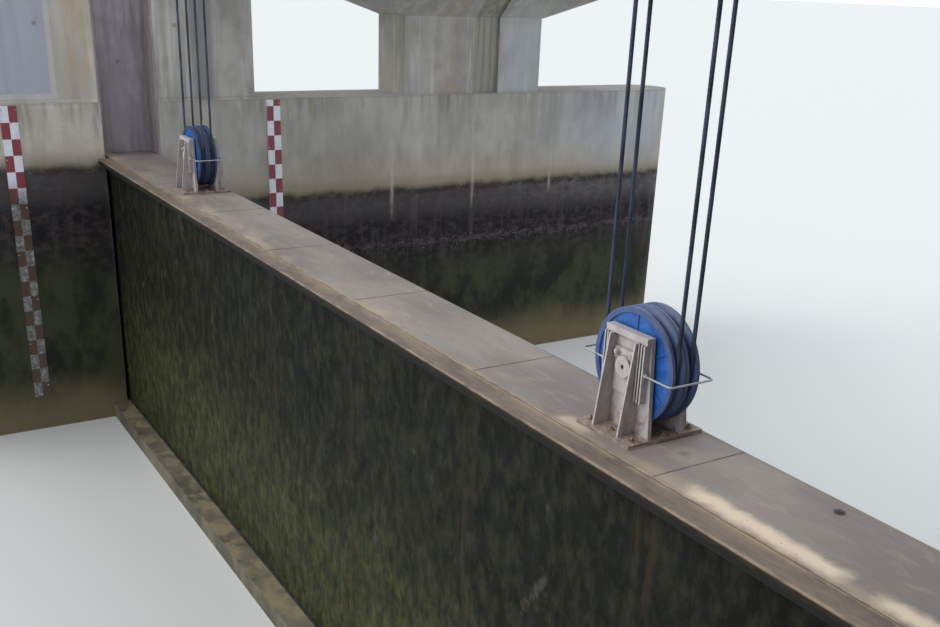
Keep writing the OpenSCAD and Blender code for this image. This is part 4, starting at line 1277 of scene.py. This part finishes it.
for side, sign in sides.items():
    x = sign * block_x
    weld_lines(side + "_bracket_welds", painted_weld, bracket_lines(x, -1) + bracket_lines(x, 1),
               Size=0.0045, Step=0.006)
    low_x, high_x = x + base_low.x - block_x, x + base_high.x - block_x
    corners = [(low_x, base_low.y, gate_top), (high_x, base_low.y, gate_top),
               (high_x, base_high.y, gate_top), (low_x, base_high.y, gate_top)]
    weld_lines(side + "_base_weld", silted_weld, zip(corners, corners[1:] + corners[:1]),
               Size=0.007, Step=0.008, Pass=0.018)

# %% [markdown]
# The back of the leaf is a grid of girders and diaphragms. Each plate is welded on both of its
# sides, so its box gives the lines: along the girders on the skin, up the diaphragms on the skin,
# and from the skin to the flange where a diaphragm meets a girder.

# %% Where the girders and diaphragms stand
WEB_HALF = 0.006
SKIN_PLATE = 0.014
FLANGE = 0.016
GIRDER_END = 6.72
DIAPHRAGMS = 8
skin_back = skin_y + SKIN_PLATE
flange_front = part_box("girders")[1].y - FLANGE
diaphragm_low, diaphragm_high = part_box("diaphragms")
edges_on_skin = sorted({round(v.co.z, 4) for v in nodes["girders"].data.vertices
                        if v.co.y < skin_back + 0.001})
girder_zs = [(a + b) / 2 for a, b in zip(edges_on_skin[::2], edges_on_skin[1::2])]
diaphragm_xs = [(k - (DIAPHRAGMS - 1) / 2) * DIAPHRAGM_PITCH for k in range(DIAPHRAGMS)]
print("girders at", [round(z, 3) for z in girder_zs])

# %% Welds of the grid
BOTH_SIDES = (-WEB_HALF, WEB_HALF)
GRID_WELD = {"Size": 0.006, "Step": 0.020, "Pass": 0.061}
along = [((-GIRDER_END, skin_back, z + off), (GIRDER_END, skin_back, z + off))
         for z in girder_zs for off in BOTH_SIDES]
stops = [diaphragm_low.z] + girder_zs + [diaphragm_high.z]
web_xs = [x + off for x in diaphragm_xs for off in BOTH_SIDES]
upright = [((x, skin_back, low + WEB_HALF), (x, skin_back, high - WEB_HALF))
           for x in web_xs for low, high in zip(stops, stops[1:])]
across = [((x, skin_back, z + up), (x, flange_front, z + up))
          for x in web_xs for z in girder_zs for up in BOTH_SIDES]
weld_lines("girder_welds", leaf_weld, along, **GRID_WELD)
weld_lines("diaphragm_welds", leaf_weld, upright, **GRID_WELD)
weld_lines("crossing_welds", leaf_weld, across, **GRID_WELD)

# %% [markdown]
# ### Ropes
# A wire rope is six strands laid round each other. Six thin tubes could be wound by hand, but at
# this size the outline is what shows. So the tree gives the rope's outline six lobes, and turns it
# once every lay while it goes along.

# %% The rope tree
STRANDS = 6
POINTS_ON_STRAND = 3


def rope_tree():
    t = GrowthTree("ropes", Size=0.012, Lay=0.156, Step=0.014, Groove=0.24)
    curve, along = t.stepped_curve()
    curve = t.step("SetCurveTilt", {"Curve": curve, "Tilt": t.turns(along, t.given["Lay"])})
    circle = t.step("CurvePrimitiveCircle", {"Resolution": STRANDS * POINTS_ON_STRAND,
                                             "Radius": t.given["Size"]})
    index = t.add("GeometryNodeInputIndex").outputs[0]
    valley = t.calc("LESS_THAN", t.calc("MODULO", index, float(POINTS_ON_STRAND)), 0.5)
    share = t.minus(1.0, t.times(valley, t.given["Groove"]))
    place = t.add("GeometryNodeInputPosition").outputs[0]
    lobed = t.add("ShaderNodeVectorMath", {0: place, "Scale": share}, operation="SCALE").outputs[0]
    outline = t.step("SetPosition", {"Geometry": circle, "Position": lobed})
    strand = t.step("CurveToMesh", {"Curve": curve, "Profile Curve": outline, "Fill Caps": True})
    return t.finish(strand, True)


ropes = rope_tree()

# %% [markdown]
# Each rope comes down from the hoist deck, turns under its sheave and goes up again. The falls
# stretch between the deck and the leaf. The half turn under each sheave rides on the leaf.

# %% The falls and the half turns
ROPE_RADIUS = 0.012
SOCKET_REACH = 0.02
TURN_STEPS = 48
fall_low, fall_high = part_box("right_ropes")
turn_radius = (fall_high.x - fall_low.x) / 2 - ROPE_RADIUS
rope_off_y = (fall_high.y - fall_low.y) / 2 - ROPE_RADIUS


def grow_lines(name, body, lines, **settings):
    """Ropes along lists of points, each a line of its own."""
    points, edges = [], []
    for line in lines:
        start = len(points)
        points += line
        edges += [(start + i, start + i + 1) for i in range(len(line) - 1)]
    return grow(name, body, ropes, finishes["ropes"], points, edges=edges, **settings)


def half_turn(x, y):
    """Points under a sheave, from the middle of one fall to the other."""
    angles = [math.pi * (1 + step / TURN_STEPS) for step in range(TURN_STEPS + 1)]
    return [(x + turn_radius * math.cos(angle), y, axle_z + turn_radius * math.sin(angle))
            for angle in angles]


for side, sign in sides.items():
    x = sign * block_x
    rope_ys = (block_y - rope_off_y, block_y + rope_off_y)
    fall_lines = [[(x + dx, y, fall_low.z), (x + dx, y, fall_high.z + SOCKET_REACH)]
                  for dx in (-turn_radius, turn_radius) for y in rope_ys]
    falls = grow_lines(side + "_rope_falls", "root", fall_lines, ride=False)
    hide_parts(side + "_ropes")
    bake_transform(falls)
    turns = grow_lines(side + "_rope_half_turns", "leaf", [half_turn(x, y) for y in rope_ys])
    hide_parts(side + "_rope_turns")

# %% [markdown]
# ### Shells and grit
# Shells sit in a line just above the low water, and grit lies on the top plate. They could be bumps
# of the material, but each throws a small shadow. So both are scattered over a patch by one tree,
# with chance places, sizes and turns from a fixed seed.

# %% The scatter tree
def scatter_tree():
    t = GrowthTree("scatter", Density=100.0, Size=0.01, Flat=0.6, Seed=1)
    spread = t.add("GeometryNodeDistributePointsOnFaces", {
        "Mesh": t.given["Geometry"], "Density": t.given["Density"], "Seed": t.given["Seed"]})
    lump = t.step("MeshCone", {"Vertices": 7, "Radius Top": 0.35, "Radius Bottom": 1.0, "Depth": 1.0})
    lump = t.step("Transform", {"Geometry": lump, "Translation": (0, 0, -0.15)})
    size = t.given["Size"]
    whole = t.add("ShaderNodeCombineXYZ", {"X": size, "Y": size, "Z": t.times(size, t.given["Flat"])})
    chance = t.random((0.35, 0.35, 0.35), (1.0, 1.0, 1.0), t.given["Seed"])
    scale = t.add("ShaderNodeVectorMath", {0: whole.outputs[0], 1: chance}, operation="MULTIPLY")
    placed = t.step("InstanceOnPoints", {"Points": spread.outputs["Points"], "Instance": lump,
                                         "Rotation": spread.outputs["Rotation"],
                                         "Scale": scale.outputs[0]})
    return t.finish(placed, False)


scatter = scatter_tree()
shell_grey = plain_mottle("shells", paint(66, 58, 60), paint(110, 100, 100), 0.02, 0.75)
grit_grey = plain_mottle("grit", paint(112, 102, 92), paint(176, 160, 142), 0.03, 0.85)

# %% Shells on the piers and grit on the top
GRIT_END, GRIT_FRONT, GRIT_BACK = 6.30, 0.03, 0.02
SHELL_START, SHELL_REACH = 0.1, 3.0
SHELLS_BELOW, SHELLS_ABOVE = 0.10, 0.08


def four_corners(low, high, place):
    """The corners of a patch, with place turning two numbers into a point."""
    (a, b), (c, d) = low, high
    return [place(a, b), place(c, b), place(c, d), place(a, d)]


grit_patch = four_corners((-GRIT_END, skin_y + GRIT_FRONT), (GRIT_END, plate_back_y - GRIT_BACK),
                          lambda x, y: (x, y, gate_top))
grow("grit_on_top", "leaf", scatter, grit_grey, grit_patch, faces=[(0, 1, 2, 3)],
     Density=70.0, Size=0.005, Flat=0.6, Seed=13)
for side, sign in sides.items():
    band = four_corners((slot_end_y + SHELL_START, SHELL_LINE_Z - SHELLS_BELOW),
                        (-slot_y + SHELL_REACH, SHELL_LINE_Z + SHELLS_ABOVE),
                        lambda y, z: (sign * face_x, y, z))
    toward_bay = (0, 3, 2, 1) if sign > 0 else (0, 1, 2, 3)
    grow(side + "_shell_line", "root", scatter, shell_grey, band, faces=[toward_bay],
         Density=400.0, Size=0.016, Flat=0.9, Seed=17)
